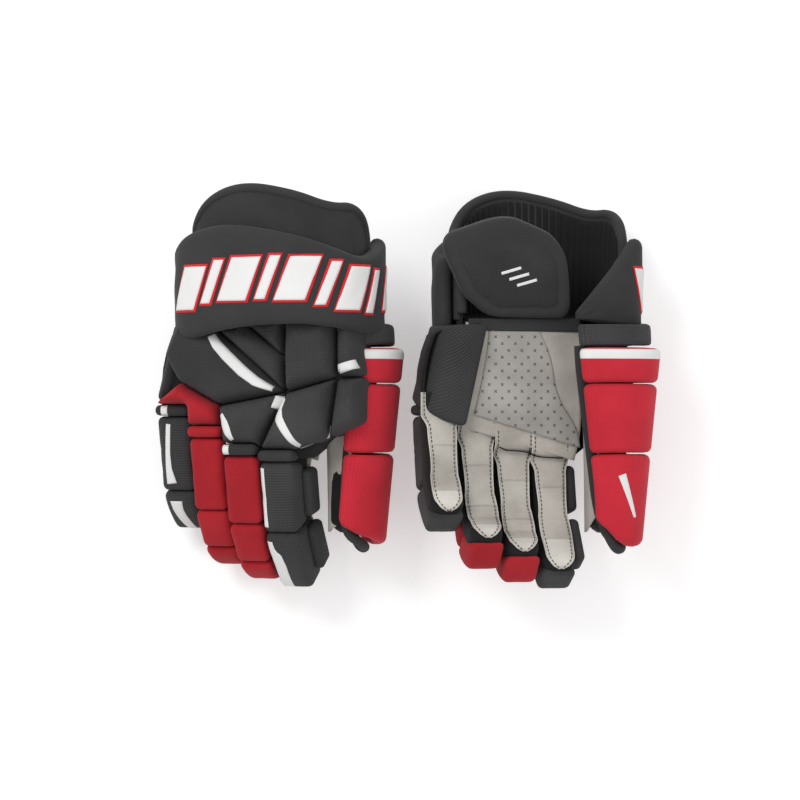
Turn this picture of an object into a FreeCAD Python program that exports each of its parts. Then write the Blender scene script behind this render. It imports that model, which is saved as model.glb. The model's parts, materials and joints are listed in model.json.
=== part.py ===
"""A pair of padded ice hockey gloves, as a parametric FreeCAD document.

Each glove is designed once in its own frame: x runs towards the thumb, y towards the wrist and z towards
the back of the hand, with z = 0 on the outer face of the palm leather. The right glove is that design laid
palm down. The left glove is its mirror image laid palm up. The pair stands on z = 0 with +Z up.
"""
import FreeCAD, Part
import math
import os
import Sketcher
from FreeCAD import Vector

doc = FreeCAD.newDocument("hockey_gloves")

# ---------------------------------------------------------------- driving dimensions (mm and degrees)
SIZES = {
    # the hand
    "palm_thick": 2,
    "hand_space": 36,
    "plate_thick": 1.6,
    "pad_thick": 19,
    "side_pad_thick": 13,
    "side_pad_drop": 2.5,
    "edge_pad_low": 10,
    "pad_taper": 17,
    "overlay_thick": 1.4,
    "wrist_line": 67,
    "palm_top": 62,
    "palm_edge_inset": 18.7,
    "wall": 1.8,
    # sewn pieces on different sides of a bend keep this much from the bend line
    "sewn_gap": 0.4,
    # finger columns
    "column_width": 31.4,
    "column_gap": 1.1,
    "finger_space": 24,
    "finger_pad_thick": 17,
    "pad_bevel": 4,
    "knuckle_roll": 8.5,
    "knuckle_roll_lift": 20,
    "finger_lift": 21,
    "cap_thick": 5,
    "tip_overhang": 5,
    "side_roll_thick": 7,
    "knuckle_flex": 40,
    "middle_flex": 45,
    "tip_flex": 27,
    "index_x": 15.5,
    "index_knuckle": -53, "index_drop": 1,
    "middle_knuckle": -48, "middle_drop": 0,
    "ring_knuckle": -33, "ring_drop": 3,
    "pinky_knuckle": -15, "pinky_drop": 10,
    "index_base": 52, "index_tip": 52,
    "middle_base": 50, "middle_mid": 29, "middle_tip": 24,
    "ring_base": 54, "ring_mid": 28, "ring_tip": 24,
    "pinky_base": 56, "pinky_tip": 34,
    "knuckle_curl": 12,
    "middle_curl": 21,
    "tip_curl": 22,
    # the thumb
    "thumb_clear": 1.6,
    "thumb_seat": 2.2,
    "thumb_width": 58,
    "thumb_tip_width": 42,
    "thumb_top": 18,
    "thumb_bottom": -38,
    "thumb_taper": 7,
    "thumb_pad_thick": 14,
    "thumb_start": 43,
    "thumb_roll_end": 13,
    "thumb_bend": -46,
    "thumb_end": -121,
    "thumb_wall_thick": 0.8,
    "guard_thick": 1.6,
    # the cuff
    "band_thick": 14,
    "band_left": -80,
    "band_right": 98,
    "arch_rise": 40,
    "band_low_edge": 16,
    "band_length": 82,
    "collar_gap": 0.6,
    "collar_thick": 3,
    "collar_length": 112,
    "collar_low_edge": 8,
    "flap_thick": 10,
    "flap_tilt": 9,
    "flap_left": -78,
    "flap_right": 30,
    "flap_length": 84,
    # how far the thumb, the band and the flap swing, which their shapes leave free
    "thumb_flex": 25,
    "band_swing": 12,
    "flap_open": 60,
    # how the pair lies
    "pair_gap": 11.9,
    "right_roll": -19,
    "right_pitch": 0,
    "left_roll": 14,
    "left_pitch": 0,
}

# Corners that the pads on the back of the hand share, so that the pads meet at their seams.
SEAMS = {
    "outer_wrist": (23.7, 61), "outer_side": (12.7, 37), "outer_notch": (24.7, 15),
    "valley": (-36, -5), "centre": (12, 6), "cuff_corner": (-50, 52), "cuff_middle": (-25, 60),
    "roll_left": (16, 67), "triangle_foot": (13, 34), "roll_right": (68, 67), "roll_foot": (68, 18),
    "radial_top": (84, 60), "radial_foot": (89, 18), "radial_low": (87, -20), "radial_toe": (60, -33),
}
# These lie on the wrist line, and those are measured in from the outer face of the little finger.
ON_WRIST_LINE = ("roll_left", "roll_right")
FROM_OUTER_FACE = ("outer_wrist", "outer_side", "outer_notch")


def fill_sheet():
    """Put every driving dimension in the spreadsheet, one named cell each."""
    sheet = doc.addObject("Spreadsheet::Sheet", "sizes")
    cells = dict(SIZES)
    for name, (across, along) in SEAMS.items():
        cells[name + "_x"] = across
        cells[name + "_y"] = along
    for alias in ("glove_spacing", "right_rest", "left_rest", "shift_x", "shift_y"):
        cells[alias] = 0
    for row, (alias, value) in enumerate(cells.items(), start=1):
        sheet.set(f"A{row}", alias.replace("_", " "))
        sheet.set(f"B{row}", str(value))
        sheet.setAlias(f"B{row}", alias)
    doc.recompute()
    return sheet


sheet = fill_sheet()

# Names for the sums that several pieces share.
HAND_TOP = "(sizes.palm_thick + sizes.hand_space)"
PAD_LOW = f"({HAND_TOP} + sizes.plate_thick)"
FINGER_TOP = "(sizes.finger_space / 2)"
FINGER_FLOOR = "(sizes.finger_space / 2 + sizes.wall)"
HALF_COLUMN = "(sizes.column_width / 2)"
INDEX_SIDE = f"(sizes.index_x + {HALF_COLUMN} + sizes.sewn_gap + sizes.side_roll_thick)"
THUMB_LEFT = f"({INDEX_SIDE} + sizes.thumb_clear)"
PALM_INNER = f"({THUMB_LEFT} - sizes.thumb_seat)"
ARCH_TOP = f"({HAND_TOP} + sizes.arch_rise)"
COLUMNS = {finger: f"(sizes.index_x - {place} * (sizes.column_width + sizes.column_gap))"
           for place, finger in enumerate(("index", "middle", "ring", "pinky"))}
OUTER_FACE = f"({COLUMNS['pinky']} - {HALF_COLUMN})"
PALM_OUTER = f"({OUTER_FACE} + sizes.palm_edge_inset)"


# ---------------------------------------------------------------- drawing helpers
def draw(body, name, plane, points, offset):
    """Sketch a closed outline in body, each corner tied to its two expressions."""
    sketch = body.newObject("Sketcher::SketchObject", name)
    origin = next(item for item in body.Origin.OriginFeatures if item.Role == plane)
    sketch.AttachmentSupport = (origin, [""])
    sketch.MapMode = "FlatFace"
    sketch.setExpression("AttachmentOffset.Base.z", offset)
    count = len(points)
    ring = [Vector(90 * math.cos(math.tau * k / count), 90 * math.sin(math.tau * k / count), 0)
            for k in range(count)]
    for k in range(count):
        sketch.addGeometry(Part.LineSegment(ring[k], ring[(k + 1) % count]), False)
    for k in range(count):
        sketch.addConstraint(Sketcher.Constraint("Coincident", k, 2, (k + 1) % count, 1))
    for k, (across, up) in enumerate(points):
        for direction, value in (("DistanceX", across), ("DistanceY", up)):
            tie = sketch.addConstraint(Sketcher.Constraint(direction, -1, 1, k, 1, 1.0))
            sketch.setExpression(f"Constraints[{tie}]", str(value))
    return sketch


def prism(name, plane, points, offset, depth, taper=None):
    """A body padded from an outline. taper leans its sides inward."""
    body = doc.addObject("PartDesign::Body", name)
    sketch = draw(body, name + "_outline", plane, points, offset)
    pad = body.newObject("PartDesign::Pad", name + "_pad")
    pad.Profile = sketch
    pad.setExpression("Length", depth)
    if taper:
        pad.setExpression("TaperAngle", f"-{taper}")
    return body


def bevel(body, size):
    """Round over the upper edges of a pad, as its stuffing does."""
    doc.recompute()
    pad = body.Tip
    faces = pad.Shape.Faces
    top = max(range(len(faces)), key=lambda k: faces[k].CenterOfMass.z)
    chamfer = body.newObject("PartDesign::Chamfer", body.Name + "_bevel")
    chamfer.Base = (pad, [f"Face{top + 1}"])
    chamfer.setExpression("Size", size)
    body.Tip = chamfer
    return body


def loft(name, near, near_at, far, far_at):
    """A body lofted between two outlines in planes across y."""
    body = doc.addObject("PartDesign::Body", name)
    first = draw(body, name + "_near", "XZ_Plane", near, f"-({near_at})")
    second = draw(body, name + "_far", "XZ_Plane", far, f"-({far_at})")
    solid = body.newObject("PartDesign::AdditiveLoft", name + "_loft")
    solid.Profile = first
    solid.Sections = [second]
    solid.Ruled = True
    return body


def group(name, members):
    """Several separate solids that make one piece."""
    bunch = doc.addObject("Part::Compound", name)
    bunch.Links = members
    return bunch


def place(thing, frame):
    thing.setExpression("Placement", frame)
    return thing


def at(across=0, along=0, up=0):
    return f"placement(vector({across}; {along}; {up}); rotation(vector(1; 0; 0); 0))"


def bent(angle):
    return f"placement(vector(0; 0; 0); rotation(vector(1; 0; 0); {angle}))"


def seam(*names):
    """The outline through the named seam corners."""
    points = []
    for name in names:
        across = f"sizes.{name}_x"
        if name in FROM_OUTER_FACE:
            across = f"{OUTER_FACE} + {across}"
        points.append((across, "sizes.wrist_line" if name in ON_WRIST_LINE else f"sizes.{name}_y"))
    return points


# ---------------------------------------------------------------- the back of the hand
def knuckle_edge(finger, side):
    """The corner where a pad ends above a finger's knuckle roll."""
    sign = "+" if side == "thumb" else "-"
    along = f"sizes.{finger}_knuckle + sizes.knuckle_roll + 2 * sizes.sewn_gap"
    return (f"{COLUMNS[finger]} {sign} {HALF_COLUMN}", along)


def hand_pad(name, points, low=PAD_LOW, thick="sizes.pad_thick"):
    return prism(name, "XY_Plane", points, low, thick, "sizes.pad_taper")


def backhand_outer_pad():
    """The long diagonal pad, and the pad along the little-finger edge of the hand."""
    long_pad = hand_pad("outer_long", seam(
        "outer_wrist", "outer_side", "outer_notch", "valley", "centre", "cuff_corner"))
    edge = [seam("outer_side")[0], (OUTER_FACE, "sizes.outer_notch_y"),
            knuckle_edge("pinky", "edge"),
            (f"{PALM_OUTER} - sizes.sewn_gap", "sizes.pinky_knuckle + sizes.knuckle_roll + 1"),
            (f"{PALM_OUTER} - sizes.sewn_gap", "sizes.outer_side_y")]
    edge_pad = prism("outer_edge", "XY_Plane", edge, "sizes.edge_pad_low", "sizes.hand_space - 9", "8")
    return group("backhand_outer_pad", [long_pad, edge_pad])


def backhand_wrist_pad():
    vee = hand_pad("wrist_vee", seam("cuff_corner", "centre", "triangle_foot", "cuff_middle"))
    triangle = hand_pad("wrist_triangle", seam("cuff_middle", "triangle_foot", "roll_left"))
    return group("backhand_wrist_pad", [vee, triangle])


def radial_side_pad(name, corners):
    """A pad on the thumb side, lower than its neighbour and lying against it."""
    low = f"{PAD_LOW} - sizes.side_pad_drop"
    return hand_pad(name, seam(*corners), low, "sizes.side_pad_thick")


def backhand_centre_roll():
    roll = hand_pad("centre_roll", seam("roll_left", "triangle_foot", "centre", "roll_foot", "roll_right"))
    side = radial_side_pad("centre_side", ["roll_right", "roll_foot", "radial_foot", "radial_top"])
    return group("backhand_centre_roll", [roll, side])


def index_knuckle_pad():
    points = seam("centre") + [knuckle_edge("index", "edge"), knuckle_edge("index", "thumb")]
    main = hand_pad("index_main", points + seam("radial_toe", "roll_foot"))
    side = radial_side_pad("index_side", ["roll_foot", "radial_toe", "radial_low", "radial_foot"])
    return group("index_knuckle_pad", [main, side])


def ring_knuckle_pad():
    points = seam("outer_notch") + [knuckle_edge("pinky", "edge"), knuckle_edge("pinky", "thumb"),
                                    knuckle_edge("ring", "edge"), knuckle_edge("ring", "thumb")]
    return group("ring_knuckle_pad", [hand_pad("ring_main", points + seam("valley"))])


def middle_knuckle_pad():
    points = seam("valley") + [knuckle_edge("ring", "thumb"), knuckle_edge("middle", "edge"),
                               knuckle_edge("middle", "thumb"), knuckle_edge("index", "edge")]
    return group("middle_knuckle_pad", [hand_pad("middle_main", points + seam("centre"))])


def knuckle_roll():
    """A thin padded roll across the root of each finger."""
    rolls = []
    for finger in ("index", "middle", "ring", "pinky"):
        low = f"sizes.{finger}_knuckle + sizes.sewn_gap"
        high = f"sizes.{finger}_knuckle + sizes.sewn_gap + sizes.knuckle_roll"
        left = f"{COLUMNS[finger]} - {HALF_COLUMN}"
        right = f"{COLUMNS[finger]} + {HALF_COLUMN}"
        lift = f"sizes.finger_lift - sizes.{finger}_drop + {FINGER_TOP}"
        rolls.append(prism(f"{finger}_roll", "XY_Plane",
                           [(left, low), (right, low), (right, high), (left, high)],
                           lift, "sizes.knuckle_roll_lift", "4"))
    return group("knuckle_roll_row", rolls)


def backhand_plate():
    """Stiff plates under the pads, with a break between hand and knuckles."""
    wrist = prism("wrist_plate", "XY_Plane", seam(
        "outer_wrist", "outer_side", "outer_notch", "valley", "centre", "roll_foot", "roll_right",
        "roll_left", "cuff_middle", "cuff_corner"), HAND_TOP, "sizes.plate_thick")
    points = [("sizes.valley_x", "sizes.valley_y - sizes.wall"), knuckle_edge("ring", "thumb"),
              knuckle_edge("middle", "edge"), knuckle_edge("middle", "thumb"),
              knuckle_edge("index", "edge"), knuckle_edge("index", "thumb"),
              ("sizes.radial_toe_x", "sizes.radial_toe_y"),
              ("sizes.roll_foot_x", "sizes.roll_foot_y - sizes.wall"),
              ("sizes.centre_x", "sizes.centre_y - sizes.wall")]
    knuckles = prism("knuckle_plate", "XY_Plane", points, HAND_TOP, "sizes.plate_thick")
    return group("backhand_plate", [wrist, knuckles])


# ---------------------------------------------------------------- the palm side of the hand
def palm_reach(finger):
    """How far the palm stays back from a finger's bend, so that the finger can fold."""
    half_turn = "(sizes.knuckle_curl + sizes.knuckle_flex) / 2"
    depth = f"(sizes.finger_lift - sizes.{finger}_drop)"
    return f"sizes.{finger}_knuckle + {depth} * tan({half_turn}) + sizes.sewn_gap"


def palm_leather():
    """The leather of the palm, cut back in steps to clear each finger's bend."""
    inner = f"{THUMB_LEFT} - sizes.sewn_gap"
    points = [(PALM_OUTER, "sizes.palm_top"), (inner, "sizes.palm_top"),
              (inner, palm_reach("index"))]
    for finger in ("index", "middle", "ring"):
        inner_edge = f"{COLUMNS[finger]} - {HALF_COLUMN} - sizes.sewn_gap"
        following = {"index": "middle", "middle": "ring", "ring": "pinky"}[finger]
        points.append((inner_edge, palm_reach(finger)))
        points.append((inner_edge, palm_reach(following)))
    points.append((PALM_OUTER, palm_reach("pinky")))
    return group("palm_leather", [prism("palm_sheet", "XY_Plane", points, "0", "sizes.palm_thick")])


def palm_overlay():
    """A second layer of leather, sewn over the heel and the thumb side of the palm."""
    points = [(-42, "sizes.palm_top - 3"), (2, "sizes.palm_top - 6"), (17, 34), (19, 2),
              (f"{PALM_INNER} - 4", -24), (f"{PALM_INNER} - 5", palm_reach("index") + " + 3"),
              (-30, -18), (f"{PALM_OUTER} + 27", -10), (-54, 6)]
    thick = "sizes.overlay_thick"
    return group("palm_overlay", [prism("overlay_sheet", "XY_Plane", points, f"-{thick}", thick)])


def box_outline(left, right, low, high):
    return [(left, low), (right, low), (right, high), (left, high)]


def hand_gusset():
    """Cloth side walls of the hand. The thumb goes in between the two on the thumb side."""
    outer = box_outline(PALM_OUTER, f"{PALM_OUTER} + sizes.wall",
                        knuckle_edge("pinky", "edge")[1], "sizes.palm_top")
    crotch = box_outline(f"{PALM_INNER} - sizes.wall", PALM_INNER, palm_reach("index"), "-2")
    wrist = box_outline(f"{PALM_INNER} - sizes.wall", PALM_INNER, "40", "sizes.palm_top")
    outlines = {"gusset_outer": outer, "gusset_crotch": crotch, "gusset_wrist": wrist}
    return group("hand_gusset", [prism(name, "XY_Plane", outline, "sizes.palm_thick", "sizes.hand_space")
                                 for name, outline in outlines.items()])


# ---------------------------------------------------------------- fingers
FINGERS = {
    "index": ("base", "tip"),
    "middle": ("base", "mid", "tip"),
    "ring": ("base", "mid", "tip"),
    "pinky": ("base", "tip"),
}
BENDS = {
    0: ("sizes.knuckle_curl", "sizes.knuckle_flex"),
    1: ("sizes.middle_curl", "sizes.middle_flex"),
    2: ("sizes.tip_curl", "sizes.tip_flex"),
}


def finger_frame(finger, number):
    """The placement of one finger segment: its bend line is its own x axis, its tip towards -y."""
    lift = f"sizes.finger_lift - sizes.{finger}_drop"
    frame = at(COLUMNS[finger], f"sizes.{finger}_knuckle", lift) + " * " + bent("sizes.knuckle_curl")
    for k in range(number):
        length = f"sizes.{finger}_{FINGERS[finger][k]}"
        frame += " * " + at(0, f"-{length}", 0) + " * " + bent(BENDS[k + 1][0])
    return frame


def segment_ends(finger, number):
    """How far each end of a segment leans above its bend line and draws back below it."""
    curl, flex = BENDS[number]
    near_lean = curl if number == 0 else f"({curl} / 2)"
    near_back = f"(({curl} + {flex}) / 2)"
    if number + 1 == len(FINGERS[finger]):
        return near_lean, near_back, None, None
    curl, flex = BENDS[number + 1]
    return near_lean, near_back, f"({curl} / 2)", f"(({curl} + {flex}) / 2)"


def finger_pad(finger, number):
    """The padding on the back of one segment, with a roll down the side of the index finger."""
    name = f"{finger}_{FINGERS[finger][number]}"
    near_lean, _, far_lean, _ = segment_ends(finger, number)
    low = f"({FINGER_TOP} + sizes.sewn_gap)"
    high = f"({FINGER_TOP} + sizes.finger_pad_thick)"
    length = f"sizes.{name}"

    def near(up):
        return f"{up} * tan({near_lean}) - sizes.sewn_gap"

    def far(up):
        if far_lean:
            return f"-({length} + {up} * tan({far_lean}) - sizes.sewn_gap)"
        return f"-({length} + sizes.tip_overhang)"

    profile = [(near(low), low), (near(high), high), (far(high), high), (far(low), low)]
    pads = [bevel(prism(name + "_pad", "YZ_Plane", profile, f"-{HALF_COLUMN}", "sizes.column_width"),
                  "sizes.pad_bevel")]
    if finger == "index" and number == 0:
        roll_low = "(sizes.side_roll_thick - sizes.finger_space / 2)"
        side = [(near(low), low), (far(low), low), (f"-{length} + 4", roll_low), ("-4", roll_low)]
        pads.append(prism(name + "_side_roll", "YZ_Plane", side, f"{HALF_COLUMN} + sizes.sewn_gap",
                          "sizes.side_roll_thick"))
    return place(group(name + "_pads", pads), finger_frame(finger, number))


def finger_sleeve(finger, number):
    """The hand side of a segment: two stretch gussets, a leather strip and, at the tip, an end cap."""
    name = f"{finger}_{FINGERS[finger][number]}"
    near_lean, near_back, far_lean, far_back = segment_ends(finger, number)
    length = f"sizes.{name}"
    floor = FINGER_FLOOR

    def near(up, angle):
        return f"{up} * tan({angle}) - sizes.sewn_gap"

    near_floor = f"-({floor} * tan({near_back}) + sizes.sewn_gap)"
    if far_lean:
        far_top = f"-({length} + {FINGER_TOP} * tan({far_lean}) - sizes.sewn_gap)"
        far_bend = f"-({length} - sizes.sewn_gap)"
        far_floor = f"-({length} - {floor} * tan({far_back}) - sizes.sewn_gap)"
    else:
        far_top = far_bend = far_floor = f"-{length}"
    top = FINGER_TOP
    inner_floor = f"-{FINGER_TOP}"
    wall = [(near_floor, inner_floor), ("-sizes.sewn_gap", "0"), (near(top, near_lean), top), (far_top, top)]
    if far_lean:
        wall.append((far_bend, "0"))
    wall.append((far_floor, inner_floor))
    strip = [(near_floor, f"-{floor}"), (near_floor, inner_floor),
             (far_floor, inner_floor), (far_floor, f"-{floor}")]
    solids = [
        prism(name + "_gusset_outer", "YZ_Plane", wall, f"-{HALF_COLUMN}", "sizes.wall"),
        prism(name + "_gusset_inner", "YZ_Plane", wall, f"{HALF_COLUMN} - sizes.wall", "sizes.wall"),
        prism(name + "_strip", "YZ_Plane", strip, f"-{HALF_COLUMN}", "sizes.column_width"),
    ]
    if not far_lean:
        cap = [(f"-{length}", f"-{floor}"), (f"-{length}", top), (f"-{length} - sizes.cap_thick", top),
               (f"-{length} - sizes.cap_thick", f"-{floor} + sizes.cap_thick")]
        solids.append(prism(name + "_cap", "YZ_Plane", cap, f"-{HALF_COLUMN}", "sizes.column_width"))
    return place(group(name + "_sleeve", solids), finger_frame(finger, number))


# ---------------------------------------------------------------- the thumb
def thumb_section(width, inset, drawn_in):
    """The thumb pad across y: a rounded letter C, open towards the index finger.

    inset is the depth of the padding that is drawn from outside, and drawn_in narrows the
    section from its top and bottom.
    """
    left = f"({THUMB_LEFT} + 1)"
    right = f"({THUMB_LEFT} + {width} - {inset})"
    low = f"(sizes.thumb_bottom + {drawn_in} + {inset})"
    high = f"(sizes.thumb_top - {drawn_in} - {inset} * 0.8)"
    height = f"({high} - {low})"
    return [(left, f"{low} + {height} * 0.1"), (f"{right} - 13", low),
            (f"{right} - 1", f"{low} + {height} * 0.3"), (right, f"{high} - {height} * 0.3"),
            (f"{right} - 10", high), (f"{right} - {width} * 0.4", high)]


def thumb_width_at(along):
    """The thumb narrows evenly from its start to its end."""
    share = f"((sizes.thumb_start - ({along})) / (sizes.thumb_start - sizes.thumb_end))"
    return f"(sizes.thumb_width - (sizes.thumb_width - sizes.thumb_tip_width) * {share})"


def thumb_drawn_in(along):
    share = f"((sizes.thumb_start - ({along})) / (sizes.thumb_start - sizes.thumb_end))"
    return f"(sizes.thumb_taper * {share})"


def thumb_shell(name, near_at, far_at, outside, inside):
    """One length of thumb padding between two depths from its outer face."""
    outlines = []
    for along in (near_at, far_at):
        width, drawn_in = thumb_width_at(along), thumb_drawn_in(along)
        outlines.append(thumb_section(width, outside, drawn_in)
                        + thumb_section(width, inside, drawn_in)[::-1])
    return loft(name, outlines[0], near_at, outlines[1], far_at)


def thumb_wall(name, near_at, far_at):
    """Leather on the index-finger side of the thumb, inside its padding."""
    outline = box_outline(THUMB_LEFT, f"{THUMB_LEFT} + sizes.thumb_wall_thick", far_at, near_at)
    height = "sizes.thumb_top - sizes.thumb_bottom - 22"
    return prism(name, "XY_Plane", outline, "sizes.thumb_bottom + 20", height)


GUARD_OUTSIDE = "(sizes.thumb_pad_thick + sizes.sewn_gap)"
GUARD_INSIDE = f"({GUARD_OUTSIDE} + sizes.guard_thick)"


def thumb_base_pads():
    """The roll at the top of the thumb and the pad below it."""
    roll = thumb_shell("thumb_roll", "sizes.thumb_start", "sizes.thumb_roll_end + sizes.sewn_gap",
                       "0", "sizes.thumb_pad_thick")
    mid = thumb_shell("thumb_mid", "sizes.thumb_roll_end - sizes.sewn_gap",
                      "sizes.thumb_bend + sizes.sewn_gap", "0", "sizes.thumb_pad_thick")
    return group("thumb_base_pad", [roll, mid])


def thumb_base_sleeve():
    """Leather inside the thumb, from the crotch to the bend."""
    wall = thumb_wall("thumb_base_wall", "-2", "sizes.thumb_bend + sizes.sewn_gap")
    return group("thumb_base_sleeve", [wall])


def thumb_tip():
    """The long pad past the bend, the stiff guard plate under it, and the leather end."""
    near = "sizes.thumb_bend - sizes.sewn_gap"
    long_pad = thumb_shell("thumb_long", near, "sizes.thumb_end", "0", "sizes.thumb_pad_thick")
    plate = thumb_shell("thumb_guard_plate", near, "sizes.thumb_end", GUARD_OUTSIDE, GUARD_INSIDE)
    pad, guard = group("thumb_tip_pad", [long_pad]), group("thumb_guard", [plate])
    width = thumb_width_at("sizes.thumb_end")
    cap = box_outline(THUMB_LEFT, f"{THUMB_LEFT} + {width} - 5",
                      "sizes.thumb_end - sizes.cap_thick", "sizes.thumb_end")
    cap_solid = prism("thumb_cap", "XY_Plane", cap, "sizes.thumb_bottom + sizes.thumb_taper + 4",
                      "sizes.thumb_top - sizes.thumb_bottom - 2 * sizes.thumb_taper - 6")
    sleeve = group("thumb_tip_sleeve", [thumb_wall("thumb_tip_wall", near, "sizes.thumb_end"), cap_solid])
    return pad, guard, sleeve


# ---------------------------------------------------------------- the cuff
def arch(inset):
    """The wrist arch across y at a depth inside the cuff band's outer face."""
    left = f"(sizes.band_left + {inset})"
    right = f"(sizes.band_right - {inset})"
    top = f"({ARCH_TOP} - {inset})"
    shoulder = f"({top} - 34 + {inset} * 0.3)"
    return [(left, shoulder), (f"{left} + 22", f"{top} - 12"), (f"{left} + 62", top),
            (f"{right} - 56", top), (f"{right} - 20", f"{top} - 13"), (right, f"{shoulder} - 2")]


def arch_piece(name, outside, inside, foot, low_edge, length, plan):
    """An arched sheet between two depths, from foot along the wrist, trimmed to its plan outline."""
    first, second = arch(outside), arch(inside)
    outline = ([(first[0][0], low_edge)] + first + [(first[-1][0], low_edge), (second[-1][0], low_edge)]
               + second[::-1] + [(second[0][0], low_edge)])
    tube = prism(name + "_arch", "XZ_Plane", outline, f"-({foot} + {length})", length)
    trim = prism(name + "_plan", "XY_Plane", plan, "-90", "220")
    common = doc.addObject("Part::Common", name)
    common.Base = tube
    common.Tool = trim
    return common


# The collar lies just inside the cuff band, and both start just past the wrist line.
COLLAR_INSET = "(sizes.band_thick + sizes.collar_gap)"
CUFF_FOOT = "(sizes.wrist_line + sizes.sewn_gap)"


def wrist_collar():
    """The soft arch inside the cuff band, which stands out past it."""
    foot, length = CUFF_FOOT, "sizes.collar_length"
    plan = [("sizes.band_left", foot), ("sizes.band_right", foot),
            ("sizes.band_right", f"{foot} + {length} * 0.74"), ("52", f"{foot} + {length} * 0.8"),
            ("10", f"{foot} + {length} * 0.9"), ("-22", f"{foot} + {length}"), ("-44", f"{foot} + {length}"),
            ("-64", f"{foot} + {length} * 0.86"), ("sizes.band_left", f"{foot} + {length} * 0.66")]
    inside = f"({COLLAR_INSET} + sizes.collar_thick)"
    return arch_piece("wrist_collar", COLLAR_INSET, inside, foot, "sizes.collar_low_edge", length, plan)


def cuff_band():
    """The wide padded band over the wrist, which turns under on the thumb side."""
    foot, length = CUFF_FOOT, "sizes.band_length"
    plan = [("sizes.band_left", foot), ("sizes.band_right", foot),
            ("sizes.band_right", f"{foot} + {length} * 0.48"), ("80", f"{foot} + {length} * 0.66"),
            ("26", f"{foot} + {length} * 0.86"), ("-14", f"{foot} + {length}"),
            ("-44", f"{foot} + {length} * 0.96"), ("sizes.band_left", f"{foot} + {length} * 0.76")]
    band = arch_piece("cuff_arch", "0", "sizes.band_thick", foot, "sizes.band_low_edge", length, plan)
    edge = "sizes.band_right"
    tail_plan = [(f"{edge} - 58", foot), (edge, foot), (edge, f"{foot} + {length} * 0.48"),
                 (f"{edge} - 10", f"{foot} + {length} * 0.72"), (f"{edge} - 34", f"{foot} + {length} * 0.5")]
    tail = prism("cuff_tail", "XY_Plane", tail_plan, "sizes.thumb_bottom + 14", "sizes.band_thick")
    side = box_outline(f"{edge} - sizes.band_thick", edge, foot, f"{foot} + {length} * 0.48")
    wall = prism("cuff_side", "XY_Plane", side, "sizes.thumb_bottom + 14 + sizes.band_thick",
                 "sizes.band_low_edge - sizes.thumb_bottom - 14 - sizes.band_thick")
    joined = doc.addObject("Part::MultiFuse", "cuff_band")
    joined.Shapes = [band, wall, tail]
    joined.Refine = True
    return joined


def palm_flap():
    """The padded flap on the inside of the wrist, sewn on along its lower edge."""
    left, right, reach = "sizes.flap_left", "sizes.flap_right", "sizes.flap_length"
    plan = [(f"{left} + 26", 0), (f"{right} - 6", 0), (right, 6), (f"{right} - 5", f"{reach} * 0.66"),
            (f"{right} - 18", f"{reach} * 0.88"), (f"{right} - 50", reach), (f"{left} + 8", f"{reach} * 0.9"),
            (left, f"{reach} * 0.7")]
    flap = prism("flap_pad", "XY_Plane", plan, "-sizes.flap_thick", "sizes.flap_thick")
    frame = at(0, "sizes.palm_top + 2 * sizes.sewn_gap", 0) + " * " + bent("-sizes.flap_tilt")
    return place(group("palm_flap", [flap]), frame)


# ---------------------------------------------------------------- one glove, then the pair
PAIR_PIECES = {
    "wrist_collars": wrist_collar, "backhand_outer_pads": backhand_outer_pad,
    "backhand_wrist_pads": backhand_wrist_pad, "backhand_centre_rolls": backhand_centre_roll,
    "index_knuckle_pads": index_knuckle_pad, "ring_knuckle_pads": ring_knuckle_pad,
    "middle_knuckle_pads": middle_knuckle_pad, "knuckle_rolls": knuckle_roll,
    "backhand_plates": backhand_plate, "palm_leathers": palm_leather, "palm_overlays": palm_overlay,
    "hand_gussets": hand_gusset, "thumb_base_pads": thumb_base_pads, "thumb_base_sleeves": thumb_base_sleeve,
}


def moving_pieces():
    """Every piece that moves, with its name in one glove."""
    pieces = {}
    for finger, segments in FINGERS.items():
        for number, segment in enumerate(segments):
            pad, sleeve = finger_pad(finger, number), finger_sleeve(finger, number)
            if len(segments) == 3 and segment == "tip":
                pieces[f"{finger}_tip"] = [pad, sleeve]
            else:
                pieces[f"{finger}_{segment}_pad"] = [pad]
                pieces[f"{finger}_{segment}_sleeve"] = [sleeve]
    pad, guard, sleeve = thumb_tip()
    pieces["thumb_tip_pad"] = [pad]
    pieces["thumb_guard"] = [guard]
    pieces["thumb_tip_sleeve"] = [sleeve]
    pieces["cuff_band"] = [cuff_band()]
    pieces["palm_flap"] = [palm_flap()]
    return pieces


def mirrored(source):
    mirror = doc.addObject("Part::Mirroring", source.Name + "_mirror")
    mirror.Source = source
    mirror.Base = Vector(0, 0, 0)
    mirror.Normal = Vector(0, 0, 1)
    return mirror


def glove_frame(side):
    """Where a glove lies: tipped about its own y and x, then set down beside the other."""
    sign = "-" if side == "right" else ""
    spot = at(f"{sign}sizes.glove_spacing / 2 - sizes.shift_x", "-sizes.shift_y", f"sizes.{side}_rest")
    roll = f"placement(vector(0; 0; 0); rotation(vector(0; 1; 0); sizes.{side}_roll))"
    return f"{spot} * {bent(f'sizes.{side}_pitch')} * {roll}"


def lay(name, side, masters):
    """One glove's copy of some pieces, laid where that glove lies."""
    members = masters if side == "right" else [mirrored(master) for master in masters]
    return place(group(f"{side}_{name}", members), glove_frame(side))


right_parts, left_parts, nodes = [], [], []
for name, maker in PAIR_PIECES.items():
    master = maker()
    right, left = lay(name, "right", [master]), lay(name, "left", [master])
    right_parts.append(right)
    left_parts.append(left)
    nodes.append(group(name, [right, left]))
for name, masters in moving_pieces().items():
    right, left = lay(name, "right", masters), lay(name, "left", masters)
    right_parts.append(right)
    left_parts.append(left)
    nodes += [right, left]
for node in nodes:
    node.Label = node.Name


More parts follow.
